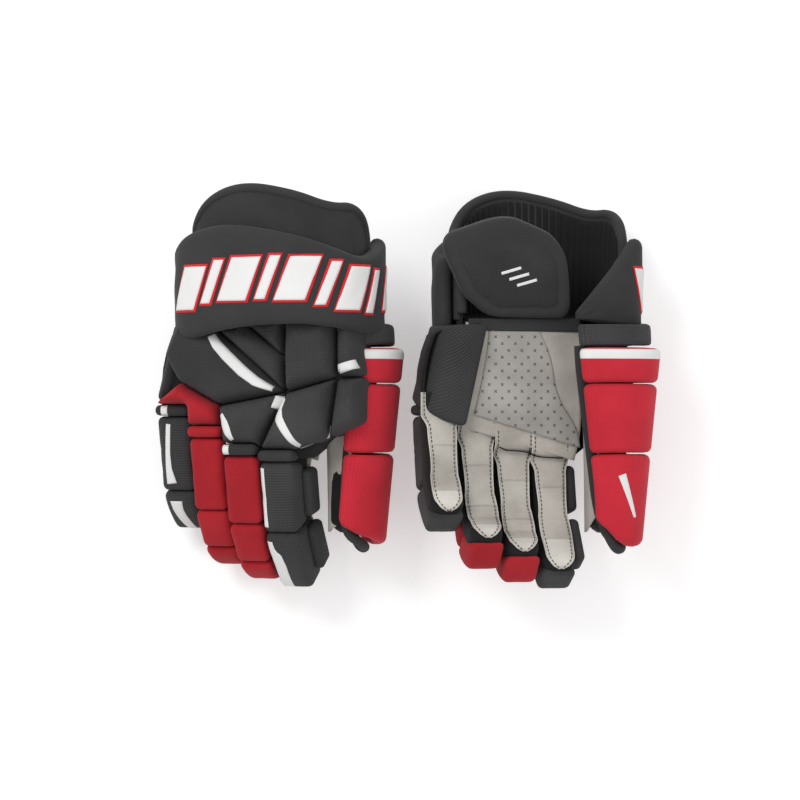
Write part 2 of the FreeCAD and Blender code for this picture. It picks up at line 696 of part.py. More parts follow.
def box_of(objects):
    whole = FreeCAD.BoundBox()
    for item in objects:
        whole.add(item.Shape.BoundBox)
    return whole


doc.recompute()
right_box, left_box = box_of(right_parts), box_of(left_parts)
sheet.set("glove_spacing", str(right_box.XMax - left_box.XMin + SIZES["pair_gap"]))
sheet.set("right_rest", str(-right_box.ZMin))
sheet.set("left_rest", str(-left_box.ZMin))
doc.recompute()
both = box_of(nodes)
sheet.set("shift_x", str(both.Center.x))
sheet.set("shift_y", str(both.Center.y))
doc.recompute()

for item in doc.Objects:
    if "Invalid" in item.State or "Error" in item.State:
        raise RuntimeError(f"{item.Name} did not build: {item.State}")
for node in nodes:
    if node.Shape.isNull() or not node.Shape.isValid():
        raise RuntimeError(f"{node.Label} has a bad shape")

os.makedirs("parts", exist_ok=True)
for node in nodes:
    node.Shape.exportStep(f"parts/{node.Label}.step")
size = box_of(nodes)
print(f"{len(nodes)} nodes, {size.XLength:.1f} x {size.YLength:.1f} x {size.ZLength:.1f} mm")
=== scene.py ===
# %% [markdown]
# # A pair of padded ice hockey gloves
# Each glove is a soft tube of cloth and leather with thick pads sewn on its back, and a wide cuff at the
# wrist. The right glove lies palm down and shows its pads. The left glove lies palm up and shows its leather.
# Both are the same design, so this lesson shapes one glove and lays it down twice, once mirrored.
#
# The first cell loads the engineered frame: bodies that move, joints, and plain solids that say where each
# pad is. Everything below is shaped round those solids; most of it rides on those bodies, and the pieces that
# span a bend are only laid in place.

# %% Load the frame
import json
import math

import bpy
import numpy as np
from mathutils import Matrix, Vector, noise
from mathutils.bvhtree import BVHTree


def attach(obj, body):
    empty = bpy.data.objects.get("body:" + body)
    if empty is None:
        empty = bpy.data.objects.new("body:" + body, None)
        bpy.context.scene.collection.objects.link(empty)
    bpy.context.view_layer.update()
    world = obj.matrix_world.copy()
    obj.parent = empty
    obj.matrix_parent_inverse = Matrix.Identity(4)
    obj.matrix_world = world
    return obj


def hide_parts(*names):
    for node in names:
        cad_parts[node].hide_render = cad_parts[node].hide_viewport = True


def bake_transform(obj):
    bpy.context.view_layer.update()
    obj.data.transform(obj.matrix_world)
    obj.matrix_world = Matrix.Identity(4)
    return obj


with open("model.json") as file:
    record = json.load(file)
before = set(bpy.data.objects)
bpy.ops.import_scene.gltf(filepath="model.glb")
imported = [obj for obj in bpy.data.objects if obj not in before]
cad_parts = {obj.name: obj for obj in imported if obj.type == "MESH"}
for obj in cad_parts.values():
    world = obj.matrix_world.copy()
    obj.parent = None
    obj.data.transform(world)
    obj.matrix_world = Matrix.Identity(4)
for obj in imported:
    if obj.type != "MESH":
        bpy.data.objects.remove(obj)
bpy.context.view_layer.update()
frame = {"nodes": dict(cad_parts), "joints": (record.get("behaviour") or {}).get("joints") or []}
joints = {joint["name"]: joint for joint in frame["joints"]}

# %% [markdown]
# ## The glove's own frame
# Designing in the glove's own frame is much easier than designing a tilted glove: x runs to the thumb,
# y to the wrist, z out of the back of the hand, in millimetres. The finger sizes below are the design's own.
# They give the place of every bend in that frame, and the loaded joints say where the same bends lie on the
# floor. A best-fit turn and shift between the two sets of points then carries any shape to its place.

# %% Finger chains
GAP = 0.4              # what sewn pieces keep clear of a bend line
PALM_TO_BEND = 21.0    # height of the bend lines above the palm leather
CURLS = (12.0, 21.0, 22.0)    # degrees that each segment curls from the one before it
FINGERS = {
    "index": {"x": 15.5, "knuckle": -53.0, "drop": 1.0, "lengths": (52.0, 52.0)},
    "middle": {"x": -17.0, "knuckle": -48.0, "drop": 0.0, "lengths": (50.0, 29.0, 24.0)},
    "ring": {"x": -49.5, "knuckle": -33.0, "drop": 3.0, "lengths": (54.0, 28.0, 24.0)},
    "pinky": {"x": -82.0, "knuckle": -15.0, "drop": 10.0, "lengths": (56.0, 34.0)},
}
SEGMENT_NAMES = {2: ("base", "tip"), 3: ("base", "mid", "tip")}
BEND_NAMES = ("knuckle", "middle_bend", "tip_bend")
SIDES = ("right", "left")


def turn_x(degrees):
    """A turn about the x axis."""
    c, s = math.cos(math.radians(degrees)), math.sin(math.radians(degrees))
    return np.array([[1, 0, 0, 0], [0, c, -s, 0], [0, s, c, 0], [0, 0, 0, 1.0]])


def shift(x, y, z):
    """A move without a turn."""
    moved = np.eye(4)
    moved[:3, 3] = (x, y, z)
    return moved


def finger_chain(finger):
    """The frame of each segment of a finger: bend line on its x axis, tip towards -y, back towards +z."""
    spec = FINGERS[finger]
    here = shift(spec["x"], spec["knuckle"], PALM_TO_BEND - spec["drop"]) @ turn_x(CURLS[0])
    chain = [here]
    for length, curl in zip(spec["lengths"], CURLS[1:]):
        if len(chain) < len(spec["lengths"]):
            chain.append(chain[-1] @ shift(0, -length, 0) @ turn_x(curl))
    return chain


CHAINS = {finger: finger_chain(finger) for finger in FINGERS}


# %% Lay each glove where its joints are
def best_fit(points, targets):
    """The turn and shift that carry points onto targets most closely."""
    centre, goal = points.mean(0), targets.mean(0)
    u, _, vt = np.linalg.svd((points - centre).T @ (targets - goal))
    flip = np.diag([1, 1, np.sign(np.linalg.det(vt.T @ u.T))])
    turn = vt.T @ flip @ u.T
    whole = np.eye(4)
    whole[:3, :3] = turn
    whole[:3, 3] = goal - turn @ centre
    return whole


def lie(side):
    """Carries the glove's own frame, in mm, to where that glove lies, in metres."""
    own, lying = [], []
    for finger, chain in CHAINS.items():
        for number, place in enumerate(chain):
            own.append(place[:3, 3] / 1000)
            lying.append(joints[f"{side}_{finger}_{BEND_NAMES[number]}"]["pos_m"])
    own, lying = np.array(own), np.array(lying)
    mirror = np.diag([1, 1, -1, 1.0]) if side == "left" else np.eye(4)
    fit = best_fit(own @ mirror[:3, :3], lying)
    miss = np.abs((own @ mirror[:3, :3]) @ fit[:3, :3].T + fit[:3, 3] - lying).max()
    print(side, "glove fits its joints to", round(miss * 1000, 3), "mm")
    return fit @ mirror @ np.diag([0.001, 0.001, 0.001, 1])


LAID = {side: lie(side) for side in SIDES}

# %% [markdown]
# ## Small tools for meshes
# Every piece is plain arrays first: points in the glove's frame, faces, and a "cloth" coordinate for each
# point. That coordinate says how far along the cloth a point is, as if the cloth were unrolled flat, so that
# a weave keeps its scale round an edge. A material reads it as an attribute, and no UV unwrapping is needed.


# %% Build an object from arrays
def carry(matrix, points):
    """Points as a matrix moves them."""
    return points @ matrix[:3, :3].T + matrix[:3, 3]


def join(shapes):
    """Several (points, faces, cloth) shapes as one."""
    points, faces, cloth, start = [], [], [], 0
    for some_points, some_faces, some_cloth in shapes:
        points.append(some_points)
        cloth.append(some_cloth)
        faces += [tuple(index + start for index in face) for face in some_faces]
        start += len(some_points)
    return np.vstack(points), faces, np.vstack(cloth)


def build(name, shape, side, material):
    """A mesh object of one shape, laid where that side's glove lies."""
    points, faces, cloth = shape
    if side == "left":
        faces = [tuple(reversed(face)) for face in faces]
    mesh = bpy.data.meshes.new(f"{side}_{name}")
    mesh.from_pydata(carry(LAID[side], points).tolist(), [], faces)
    mesh.update()
    attribute = mesh.attributes.new("cloth", "FLOAT_VECTOR", "POINT")
    attribute.data.foreach_set("vector", (np.asarray(cloth) / 1000).astype(np.float32).ravel())
    mesh.shade_smooth()
    made = bpy.data.objects.new(f"{side}_{name}", mesh)
    bpy.context.scene.collection.objects.link(made)
    made.data.materials.append(material)
    return made


# %% Grids, tubes and stitches
def grid_faces(rows, columns, closed=False):
    """Quads between rows of points. closed joins the last column to the first."""
    faces = []
    for row in range(rows - 1):
        for column in range(columns if closed else columns - 1):
            after = (column + 1) % columns
            faces.append((row * columns + column, row * columns + after,
                          (row + 1) * columns + after, (row + 1) * columns + column))
    return faces


def spaced(path, step, closed=False):
    """Points evenly spaced along a path, about step apart."""
    path = np.asarray(path, float)
    if closed:
        path = np.vstack([path, path[:1]])
    along = np.concatenate([[0], np.cumsum(np.linalg.norm(np.diff(path, axis=0), axis=1))])
    count = max(3, int(round(along[-1] / step)) + 1)
    marks = np.linspace(0, along[-1], count)
    even = np.stack([np.interp(marks, along, path[:, k]) for k in range(path.shape[1])], axis=1)
    return even[:-1] if closed else even


def softened(path, rounds=2, closed=True):
    """Cuts the corners of a path, so that it turns in small steps."""
    path = np.asarray(path, float)
    for _ in range(rounds):
        after = np.roll(path, -1, axis=0)
        pairs = np.stack([0.75 * path + 0.25 * after, 0.25 * path + 0.75 * after], axis=1)
        if closed:
            path = pairs.reshape(-1, path.shape[1])
        else:
            path = np.vstack([path[:1], pairs[:-1].reshape(-1, path.shape[1]), path[-1:]])
    return path


def evenly(edge, marks):
    """Points of a softened edge curve, at shares of its length."""
    edge = spaced(softened(edge, 2, closed=False), 0.5)
    places = np.linspace(0, 1, len(edge))
    return np.stack([np.interp(marks, places, edge[:, k]) for k in range(3)], axis=1)


def directions(path):
    """Which way a path runs at each of its points."""
    along = np.gradient(np.asarray(path, float), axis=0)
    return along / np.maximum(np.linalg.norm(along, axis=1, keepdims=True), 1e-9)


def tube(path, radius, sides=8, up=(0, 0, 1)):
    """A round cord along a path."""
    path = np.asarray(path, float)
    along = directions(path)
    up = np.broadcast_to(np.asarray(up, float), path.shape)
    across = np.cross(along, up)
    across /= np.maximum(np.linalg.norm(across, axis=1, keepdims=True), 1e-9)
    out = np.cross(across, along)
    angles = np.linspace(0, math.tau, sides, endpoint=False)
    rings = (path[:, None] + radius * (np.cos(angles)[None, :, None] * across[:, None]
                                       + np.sin(angles)[None, :, None] * out[:, None]))
    lengths = np.concatenate([[0], np.cumsum(np.linalg.norm(np.diff(path, axis=0), axis=1))])
    cloth = np.stack([np.broadcast_to(angles * radius, (len(path), sides)),
                      np.broadcast_to(lengths[:, None], (len(path), sides)),
                      np.zeros((len(path), sides))], axis=2)
    count = len(path)
    faces = [tuple(reversed(face)) for face in grid_faces(count, sides, closed=True)]
    faces.append(tuple(range(sides)))
    faces.append(tuple(reversed(range((count - 1) * sides, count * sides))))
    return rings.reshape(-1, 3), faces, cloth.reshape(-1, 3)


STITCH, STITCH_GAP = 2.3, 1.3    # mm of thread that shows, and of cloth between two stitches
THREAD = 0.42                    # radius of the thread


def stitches(path, normals):
    """A running stitch: short rounded threads that dip into the cloth at their ends."""
    fine = 0.5
    dense = spaced(np.hstack([path, normals]), fine)
    step = int(round((STITCH + STITCH_GAP) / fine))
    half = int(round(STITCH / fine)) // 2
    shapes = []
    for middle in range(half, len(dense) - half, step):
        piece = dense[[middle - half, middle - half // 2, middle, middle + half // 2, middle + half]]
        lift = np.array([-0.5, 0.6, 0.8, 0.6, -0.5])[:, None] * THREAD
        points = piece[:, :3] + piece[:, 3:] * lift
        shapes.append(tube(points, THREAD, sides=6, up=piece[:, 3:]))
    return join(shapes)


# %% Closed solids
def turned_out(points, faces):
    """The faces of a closed shape, all looking out of it."""
    corners = np.array([(face[0], face[k], face[k + 1]) for face in faces for k in range(1, len(face) - 1)])
    a, b, c = (points[corners[:, k]] for k in range(3))
    volume = (a * np.cross(b, c)).sum()
    return faces if volume > 0 else [tuple(reversed(face)) for face in faces]


def grid_normals(grid, closed=False):
    """The normal at each point of a grid of rows and columns."""
    down = np.gradient(grid, axis=0)
    if closed:
        across = np.roll(grid, -1, axis=1) - np.roll(grid, 1, axis=1)
    else:
        across = np.gradient(grid, axis=1)
    normals = np.cross(across, down)
    return normals / np.maximum(np.linalg.norm(normals, axis=2, keepdims=True), 1e-9)


def slab(grid, thickness, cloth=None, closed=False):
    """A thin closed sheet: the grid is its outer face, and its inner face lies thickness below."""
    rows, columns = grid.shape[:2]
    inner = grid - thickness * grid_normals(grid, closed)
    count = rows * columns
    faces = grid_faces(rows, columns, closed)
    faces += [tuple(index + count for index in reversed(face)) for face in faces]
    rims = [[row * columns + column for column in range(columns)] for row in (0, rows - 1)]
    if not closed:
        rims += [[row * columns + column for row in range(rows)] for column in (0, columns - 1)]
    for number, rim in enumerate(rims):
        pairs = list(zip(rim, rim[1:] + rim[:1])) if closed else list(zip(rim, rim[1:]))
        for one, two in pairs:
            face = (one, two, two + count, one + count)
            faces.append(face if number in (1, 2) else tuple(reversed(face)))
    if cloth is None:
        along = np.linalg.norm(np.diff(grid, axis=0), axis=2).mean(1)
        wide = np.linalg.norm(np.diff(grid, axis=1), axis=2).mean(0)
        v, u = np.concatenate([[0], np.cumsum(along)]), np.concatenate([[0], np.cumsum(wide)])
        cloth = np.stack(np.broadcast_arrays(u[None, :], v[:, None], 0.0), axis=2)
    points = np.vstack([grid.reshape(-1, 3), inner.reshape(-1, 3)])
    cloth = np.vstack([cloth.reshape(-1, 3)] * 2)
    return points, turned_out(points, faces), cloth


# %% Rounded blocks
def eased(count):
    """Even steps from -1 to 1, drawn closer together at the ends."""
    q = np.linspace(-1, 1, count + 1)
    return q * (1.3 - 0.3 * q * q)


def block(half, radius, step=2.4):
    """A box with rounded edges, as a skin of squares, with its cloth unrolled over the edges."""
    half = np.asarray(half, float)
    counts = [max(4, int(round(2 * size / step))) for size in half]
    marks = [eased(count) * size for count, size in zip(counts, half)]
    index, points, cloth = {}, [], []

    def corner(i, j, k):
        """The number of one corner, made when first asked for."""
        key = (i, j, k)
        if key not in index:
            index[key] = len(points)
            p = np.array([marks[0][i], marks[1][j], marks[2][k]])
            down = half[2] - p[2]
            side = [np.sign(p[axis]) * down if abs(p[axis]) > half[axis] - 1e-6 else 0 for axis in (0, 1)]
            cloth.append((p[0] + side[0], p[1] + side[1], 0))
            inner = np.clip(p, -(half - radius), half - radius)
            out = p - inner
            points.append(inner + out * radius / max(np.linalg.norm(out), 1e-9))
        return index[key]

    faces = []
    for axis in range(3):
        one, two = [k for k in range(3) if k != axis]
        for level in (0, counts[axis]):
            for i in range(counts[one]):
                for j in range(counts[two]):
                    face = []
                    for di, dj in ((0, 0), (1, 0), (1, 1), (0, 1)):
                        place = [0, 0, 0]
                        place[axis], place[one], place[two] = level, i + di, j + dj
                        face.append(corner(*place))
                    flipped = (level == 0) != (axis == 1)
                    faces.append(tuple(reversed(face)) if flipped else tuple(face))
    return np.array(points), faces, np.array(cloth)


def wrinkled(points, strength, scale, seed=0.0):
    """Smooth random lift at each point, the same every run."""
    offset = Vector((seed * 7.3, seed * 3.1, seed * 5.7))
    return strength * np.array([noise.noise(Vector(point) / scale + offset) for point in points])


SHEET_COLUMNS, SHEET_ROWS = 120, 40    # squares of the sheet that a quilted pad is shaped on


def quilted(near, far, thick, radius=4.0, crown=1.5, sign=1, step=2.6, seed=0.0):
    """A pad on a curved sheet. Its outer face spans two edge curves, and its padding goes inward."""
    near, far = (evenly(edge, np.linspace(0, 1, SHEET_COLUMNS + 1)) for edge in (near, far))
    rows = np.linspace(0, 1, SHEET_ROWS + 1)
    sheet = near[None] * (1 - rows[:, None, None]) + far[None] * rows[:, None, None]
    normals = sign * grid_normals(sheet)
    long = np.linalg.norm(np.diff(sheet[SHEET_ROWS // 2], axis=0), axis=1).sum()
    wide = np.linalg.norm(far - near, axis=1).mean()
    half = np.array([long / 2, wide / 2, thick / 2])
    points, faces, cloth = block(half, radius, step)
    u, v, w = (points / half).T
    puff = crown * (1 - np.abs(u) ** 4) * (1 - np.abs(v) ** 3) * (w > 0) * w
    puff += wrinkled(points, 0.35 * crown, 14.0, seed) * (w > 0)
    column = np.clip((u + 1) * SHEET_COLUMNS / 2, 0, SHEET_COLUMNS - 0.001)
    row = np.clip((v + 1) * SHEET_ROWS / 2, 0, SHEET_ROWS - 0.001)
    c, r = column.astype(int), row.astype(int)
    fc, fr = (column - c)[:, None], (row - r)[:, None]

    def sample(field):
        """A field of the sheet at each point, between its four nearest places."""
        return ((field[r, c] * (1 - fc) + field[r, c + 1] * fc) * (1 - fr)
                + (field[r + 1, c] * (1 - fc) + field[r + 1, c + 1] * fc) * fr)

    depth = (1 - w) * thick / 2
    made = sample(sheet) + sample(normals) * (puff - depth)[:, None]
    return made, turned_out(made, faces), cloth


# %% Pillows
def edge_distance(points, path):
    """How far each point of the plane is from a closed path."""
    after = np.roll(path, -1, axis=0)
    along = after - path
    share = ((points[:, None] - path[None]) * along[None]).sum(2) / np.maximum((along ** 2).sum(1), 1e-9)
    nearest = path[None] + np.clip(share, 0, 1)[..., None] * along[None]
    return np.linalg.norm(points[:, None] - nearest, axis=2).min(1)


SHOULDER = 2.6    # how square a pad's shoulder is: 2 is a quarter circle


def pillow(outline, low, high, edge=10.0, crown=2.5, rings=15, heart=None, seed=0.0, corner=5.0):
    """A stuffed pad on a flat outline: steep sewn sides that round over into a crowned top."""
    path = spaced(softened(spaced(outline, corner, closed=True), 2), 2.3, closed=True)
    heart = path.mean(0) if heart is None else np.array(heart, float)
    shares = (np.arange(rings) / rings) ** 1.5
    grid = heart + (path - heart)[None] * (1 - shares)[:, None, None]
    flat = np.vstack([grid.reshape(-1, 2), heart[None]])
    depth = edge_distance(flat, path)
    rise = np.clip(depth / edge, 0, 1)
    rounded = (1 - (1 - rise) ** SHOULDER) ** (1 / SHOULDER)
    middle = np.clip(depth / max(depth.max(), 1e-9), 0, 1)
    height = low + (high - low) * rounded + crown * middle * (2 - middle)
    spots = np.column_stack([flat, height])
    pucker = wrinkled(spots, 1.0, 6.0, seed) * np.exp(-depth / 4.0) * (depth > 0.2)
    height += pucker * 0.9 + wrinkled(spots, 0.5, 22.0, seed + 3) * rise
    outward = (flat - heart) / np.maximum(np.linalg.norm(flat - heart, axis=1, keepdims=True), 1e-9)
    unrolled = flat + outward * (high + crown - height)[:, None] * 0.8
    count = len(path)
    points = np.vstack([np.column_stack([flat, height]), np.append(heart, low)])
    faces = grid_faces(rings, count, closed=True)
    top, bottom = rings * count, rings * count + 1
    for column in range(count):
        after = (column + 1) % count
        faces.append(((rings - 1) * count + column, (rings - 1) * count + after, top))
        faces.append((after, column, bottom))
    cloth = np.column_stack([np.vstack([unrolled, heart[None]]), np.zeros(len(points))])
    return points, turned_out(points, faces), cloth


print("tools ready")

# %% [markdown]
# ## Cloth, leather and plastic
# A woven cloth's colour carries painted shade in the hollows between its threads and a painted highlight on
# their tops, so the colour and the bump both read one height.
# That height is a node group: two slanted waves whose product is an open mesh and whose sum is a twill. Two
# more groups give slow blotches of dye and the pores of leather. Each material sets its own sizes for them.


# %% Node helpers
def node(tree, kind, inputs=None, **settings):
    """A new node, with its inputs linked to sockets or set to values."""
    made = tree.nodes.new(kind)
    for key, value in settings.items():
        setattr(made, key, value)
    for key, value in (inputs or {}).items():
        if isinstance(value, bpy.types.NodeSocket):
            tree.links.new(value, made.inputs[key])
        else:
            made.inputs[key].default_value = value
    return made


def calc(tree, operation, a, b=0.0):
    """One step of arithmetic."""
    return node(tree, "ShaderNodeMath", {0: a, 1: b}, operation=operation).outputs[0]


def noise_at(tree, place, scale, detail):
    """The grey of a noise texture."""
    made = node(tree, "ShaderNodeTexNoise", {"Vector": place, "Scale": scale, "Detail": detail})
    return made.outputs["Fac"]


def effect(name, inputs, outputs):
    """An empty node group with named sockets."""
    group = bpy.data.node_groups.new(name, "ShaderNodeTree")
    for socket, kind in inputs.items():
        group.interface.new_socket(socket, in_out="INPUT", socket_type=f"NodeSocket{kind}")
    for socket, kind in outputs.items():
        group.interface.new_socket(socket, in_out="OUTPUT", socket_type=f"NodeSocket{kind}")
    return group, node(group, "NodeGroupInput"), node(group, "NodeGroupOutput")


def woven_threads():
    """Height of crossed threads. Twill runs from 0, an open mesh, to 1, slanted ribs."""
    group, given, out = effect("woven_threads", {"Cloth": "Vector", "Pitch": "Float", "Twill": "Float"},
                               {"Height": "Float"})
    parts = node(group, "ShaderNodeSeparateXYZ", {0: given.outputs["Cloth"]})
    turn = calc(group, "DIVIDE", math.tau, given.outputs["Pitch"])
    slants = []
    for operation in ("ADD", "SUBTRACT"):
        slanted = calc(group, operation, parts.outputs["X"], parts.outputs["Y"])
        phase = calc(group, "MULTIPLY", slanted, calc(group, "MULTIPLY", turn, 0.7))
        slants.append(calc(group, "SINE", phase))
    mesh = calc(group, "MULTIPLY", slants[0], slants[1])
    weak = calc(group, "MULTIPLY", slants[1], 0.25)
    ribs = calc(group, "ADD", calc(group, "MULTIPLY", slants[0], 0.75), weak)
    mix = node(group, "ShaderNodeMix", {"Factor": given.outputs["Twill"], "A": mesh, "B": ribs})
    height = calc(group, "MULTIPLY_ADD", mix.outputs[0], 0.5)
    height.node.inputs[2].default_value = 0.5
    group.links.new(height, out.inputs["Height"])
    return group


def uneven_cloth():
    """A slow blotch for dye and dust, and a fine fuzz."""
    group, given, out = effect("uneven_cloth", {"Place": "Vector", "Size": "Float"},
                               {"Blotch": "Float", "Fuzz": "Float"})
    scale = calc(group, "DIVIDE", 1.0, given.outputs["Size"])
    fine = calc(group, "MULTIPLY", scale, 30.0)
    group.links.new(noise_at(group, given.outputs["Place"], scale, 4.0), out.inputs["Blotch"])
    group.links.new(noise_at(group, given.outputs["Place"], fine, 2.0), out.inputs["Fuzz"])
    return group


def hide_grain():
    """Pores and creases of a brushed leather."""
    group, given, out = effect("hide_grain", {"Place": "Vector", "Size": "Float"}, {"Height": "Float"})
    scale = calc(group, "DIVIDE", 1.0, given.outputs["Size"])
    pores = node(group, "ShaderNodeTexVoronoi", {"Vector": given.outputs["Place"], "Scale": scale})
    crease = noise_at(group, given.outputs["Place"], calc(group, "MULTIPLY", scale, 0.25), 5.0)
    height = calc(group, "ADD", calc(group, "MULTIPLY", pores.outputs["Distance"], 0.5), crease)
    group.links.new(height, out.inputs["Height"])
    return group


THREADS, UNEVEN, GRAIN = woven_threads(), uneven_cloth(), hide_grain()


# %% Materials
def started(name, roughness, sheen=0.0, specular=0.3):
    """A material with its shader's plain values set on the shader's own sockets."""
    made = bpy.data.materials.new(name)
    made.use_nodes = True
    tree = made.node_tree
    shader = tree.nodes["Principled BSDF"]
    shader.inputs["Roughness"].default_value = roughness
    shader.inputs["Sheen Weight"].default_value = sheen
    shader.inputs["Specular IOR Level"].default_value = specular
    place = node(tree, "ShaderNodeTexCoord").outputs["Object"]
    cloth = node(tree, "ShaderNodeAttribute", attribute_name="cloth").outputs["Vector"]
    return made, tree, shader, place, cloth


def mixed(tree, factor, a, b, low=0.0, high=1.0):
    """Colour a where factor is low, colour b where it is high."""
    spread = node(tree, "ShaderNodeMapRange", {"Value": factor, "From Min": low, "From Max": high})
    mix = node(tree, "ShaderNodeMix", data_type="RGBA")
    tree.links.new(spread.outputs["Result"], mix.inputs["Factor"])
    for socket, colour in ((mix.inputs[6], a), (mix.inputs[7], b)):
        if isinstance(colour, bpy.types.NodeSocket):
            tree.links.new(colour, socket)
        else:
            socket.default_value = (*colour, 1)
    return mix.outputs[2]


def embossed(tree, shader, height, strength, distance):
    """Sets a bump on a shader."""
    lifted = node(tree, "ShaderNodeBump", {"Height": height, "Strength": strength, "Distance": distance})
    tree.links.new(lifted.outputs["Normal"], shader.inputs["Normal"])


def fabric(name, dark, light, pitch, twill=0.0, bump=0.5, roughness=0.85, blotch=0.18):
    """Woven cloth: painted shade in the hollows between threads and a painted highlight on their tops, an
    uneven dye, and a bump of the same threads.
    """
    made, tree, shader, place, cloth = started(name, roughness, sheen=0.06)
    threads = node(tree, "ShaderNodeGroup", node_tree=THREADS,
                   inputs={"Cloth": cloth, "Pitch": pitch, "Twill": twill})
    uneven = node(tree, "ShaderNodeGroup", {"Place": place, "Size": 0.05}, node_tree=UNEVEN)
    # The thread height paints shade into the hollows between threads and a highlight onto their tops.
    weave_shade_and_highlight = mixed(tree, threads.outputs["Height"], dark, light)
    dusty = tuple(min(1.0, value * (1 + blotch) + 0.004) for value in light)
    factor = calc(tree, "MULTIPLY", uneven.outputs["Blotch"], 0.6)
    colour = mixed(tree, factor, weave_shade_and_highlight, dusty, 0.24, 0.62)
    tree.links.new(colour, shader.inputs["Base Color"])
    fuzz = calc(tree, "MULTIPLY", uneven.outputs["Fuzz"], 0.5)
    embossed(tree, shader, calc(tree, "ADD", threads.outputs["Height"], fuzz), bump, pitch * 0.3)
    return made


def leather(name, dark, light):
    """Brushed leather: blotches of wear over pores and small creases."""
    made, tree, shader, place, cloth = started(name, 0.8, sheen=0.1, specular=0.25)
    grain = 0.0012
    uneven = node(tree, "ShaderNodeGroup", {"Place": place, "Size": 0.035}, node_tree=UNEVEN)
    pores = node(tree, "ShaderNodeGroup", {"Place": place, "Size": grain}, node_tree=GRAIN)
    worn = calc(tree, "ADD", uneven.outputs["Blotch"], calc(tree, "MULTIPLY", uneven.outputs["Fuzz"], 0.25))
    colour = mixed(tree, worn, dark, light, 0.42, 0.78)
    tree.links.new(colour, shader.inputs["Base Color"])
    embossed(tree, shader, pores.outputs["Height"], 0.35, grain * 0.5)
    return made, tree, shader, colour, cloth


# Each fabric's two colours are the painted shade in its weave's hollows and the painted highlight on its
# threads.
black_twill = fabric("black_twill", (0.016, 0.016, 0.017), (0.047, 0.047, 0.049), 0.0021, twill=1.0)
black_mesh = fabric("black_mesh", (0.020, 0.020, 0.021), (0.062, 0.062, 0.064), 0.0026, bump=0.7)
fine_mesh = fabric("fine_mesh", (0.014, 0.014, 0.015), (0.043, 0.043, 0.045), 0.0018, bump=0.6)
smooth_knit = fabric("smooth_knit", (0.030, 0.030, 0.031), (0.036, 0.036, 0.037), 0.0009, twill=0.4, bump=0.2)
stretch_black = fabric("stretch_black", (0.005, 0.005, 0.005), (0.010, 0.010, 0.010), 0.0010, bump=0.2)
red_weave = fabric("red_weave", (0.27, 0.005, 0.011), (0.47, 0.013, 0.023), 0.0017, twill=0.5, bump=0.4)
red_bright = fabric("red_bright", (0.42, 0.012, 0.024), (0.64, 0.022, 0.042), 0.0017, twill=0.3, bump=0.4)
white_trim = fabric("white_trim", (0.76, 0.76, 0.75), (0.88, 0.88, 0.87), 0.0012, bump=0.15, blotch=0.02)
red_trim = fabric("red_trim", (0.62, 0.014, 0.022), (0.74, 0.020, 0.030), 0.0012, bump=0.1)
palm_hide = leather("palm_hide", (0.36, 0.33, 0.295), (0.53, 0.50, 0.45))[0]
pale_hide = leather("pale_hide", (0.50, 0.47, 0.43), (0.72, 0.69, 0.63))[0]
thread_dark = fabric("thread_dark", (0.03, 0.03, 0.03), (0.06, 0.06, 0.06), 0.0004, twill=1.0)


def printed_hide():
    """The overlay's leather, with a staggered grid of small crosses printed on it."""
    made, tree, shader, colour, cloth = leather("overlay_hide", (0.30, 0.285, 0.265), (0.42, 0.40, 0.375))
    parts = node(tree, "ShaderNodeSeparateXYZ", {0: cloth})
    pitch, half_cross, line = 0.0115, 0.19, 0.045
    u, v = (calc(tree, "DIVIDE", parts.outputs[axis], pitch) for axis in ("X", "Y"))
    across = calc(tree, "ADD", u, v)
    along = calc(tree, "SUBTRACT", u, v)
    p, q = (calc(tree, "SUBTRACT", calc(tree, "FRACT", value), 0.5) for value in (across, along))
    strokes = calc(tree, "MINIMUM", calc(tree, "ABSOLUTE", p), calc(tree, "ABSOLUTE", q))
    reach = calc(tree, "MAXIMUM", calc(tree, "ABSOLUTE", p), calc(tree, "ABSOLUTE", q))
    thin = calc(tree, "LESS_THAN", strokes, line)
    mark = calc(tree, "MULTIPLY", thin, calc(tree, "LESS_THAN", reach, half_cross))
    tree.links.new(mixed(tree, mark, colour, (0.09, 0.085, 0.08)), shader.inputs["Base Color"])
    return made


def moulded_plastic():
    """Stiff plate stock with a faint stipple."""
    made, tree, shader, place, _ = started("guard_plastic", 0.45, specular=0.5)
    stipple = noise_at(tree, place, 900.0, 2.0)
    colour = mixed(tree, stipple, (0.70, 0.70, 0.68), (0.80, 0.80, 0.78), 0.3, 0.7)
    tree.links.new(colour, shader.inputs["Base Color"])
    embossed(tree, shader, stipple, 0.2, 0.0003)
    return made


overlay_hide, guard_plastic = printed_hide(), moulded_plastic()
print(len(bpy.data.materials), "materials")

# %% [markdown]
# ## The pads
# A glove's pads are foam in cloth covers. Each is sewn down along its edge, so it is steep at the seam, round
# at the shoulder and crowned in the middle. Pads with a flat footprint are pillows, and pads that wrap round
# the wrist or the thumb are quilted on a curved sheet. All are kept in one dictionary, so that one cloth
# simulation can swell them together later.

# %% Finger pads
PADS = {}
PAD_HALF_WIDTH = 15.6


def pad(name, shape, material, body, node, slot, fill=0.7, up=(0.0, 0.0, 1.0)):
    """Notes one pad: its shape, what it is made of, what it rides, and which way it bulges."""
    PADS[name] = {"shape": shape, "material": material, "body": body, "node": node, "slot": slot,
                  "fill": fill, "up": np.array(up)}


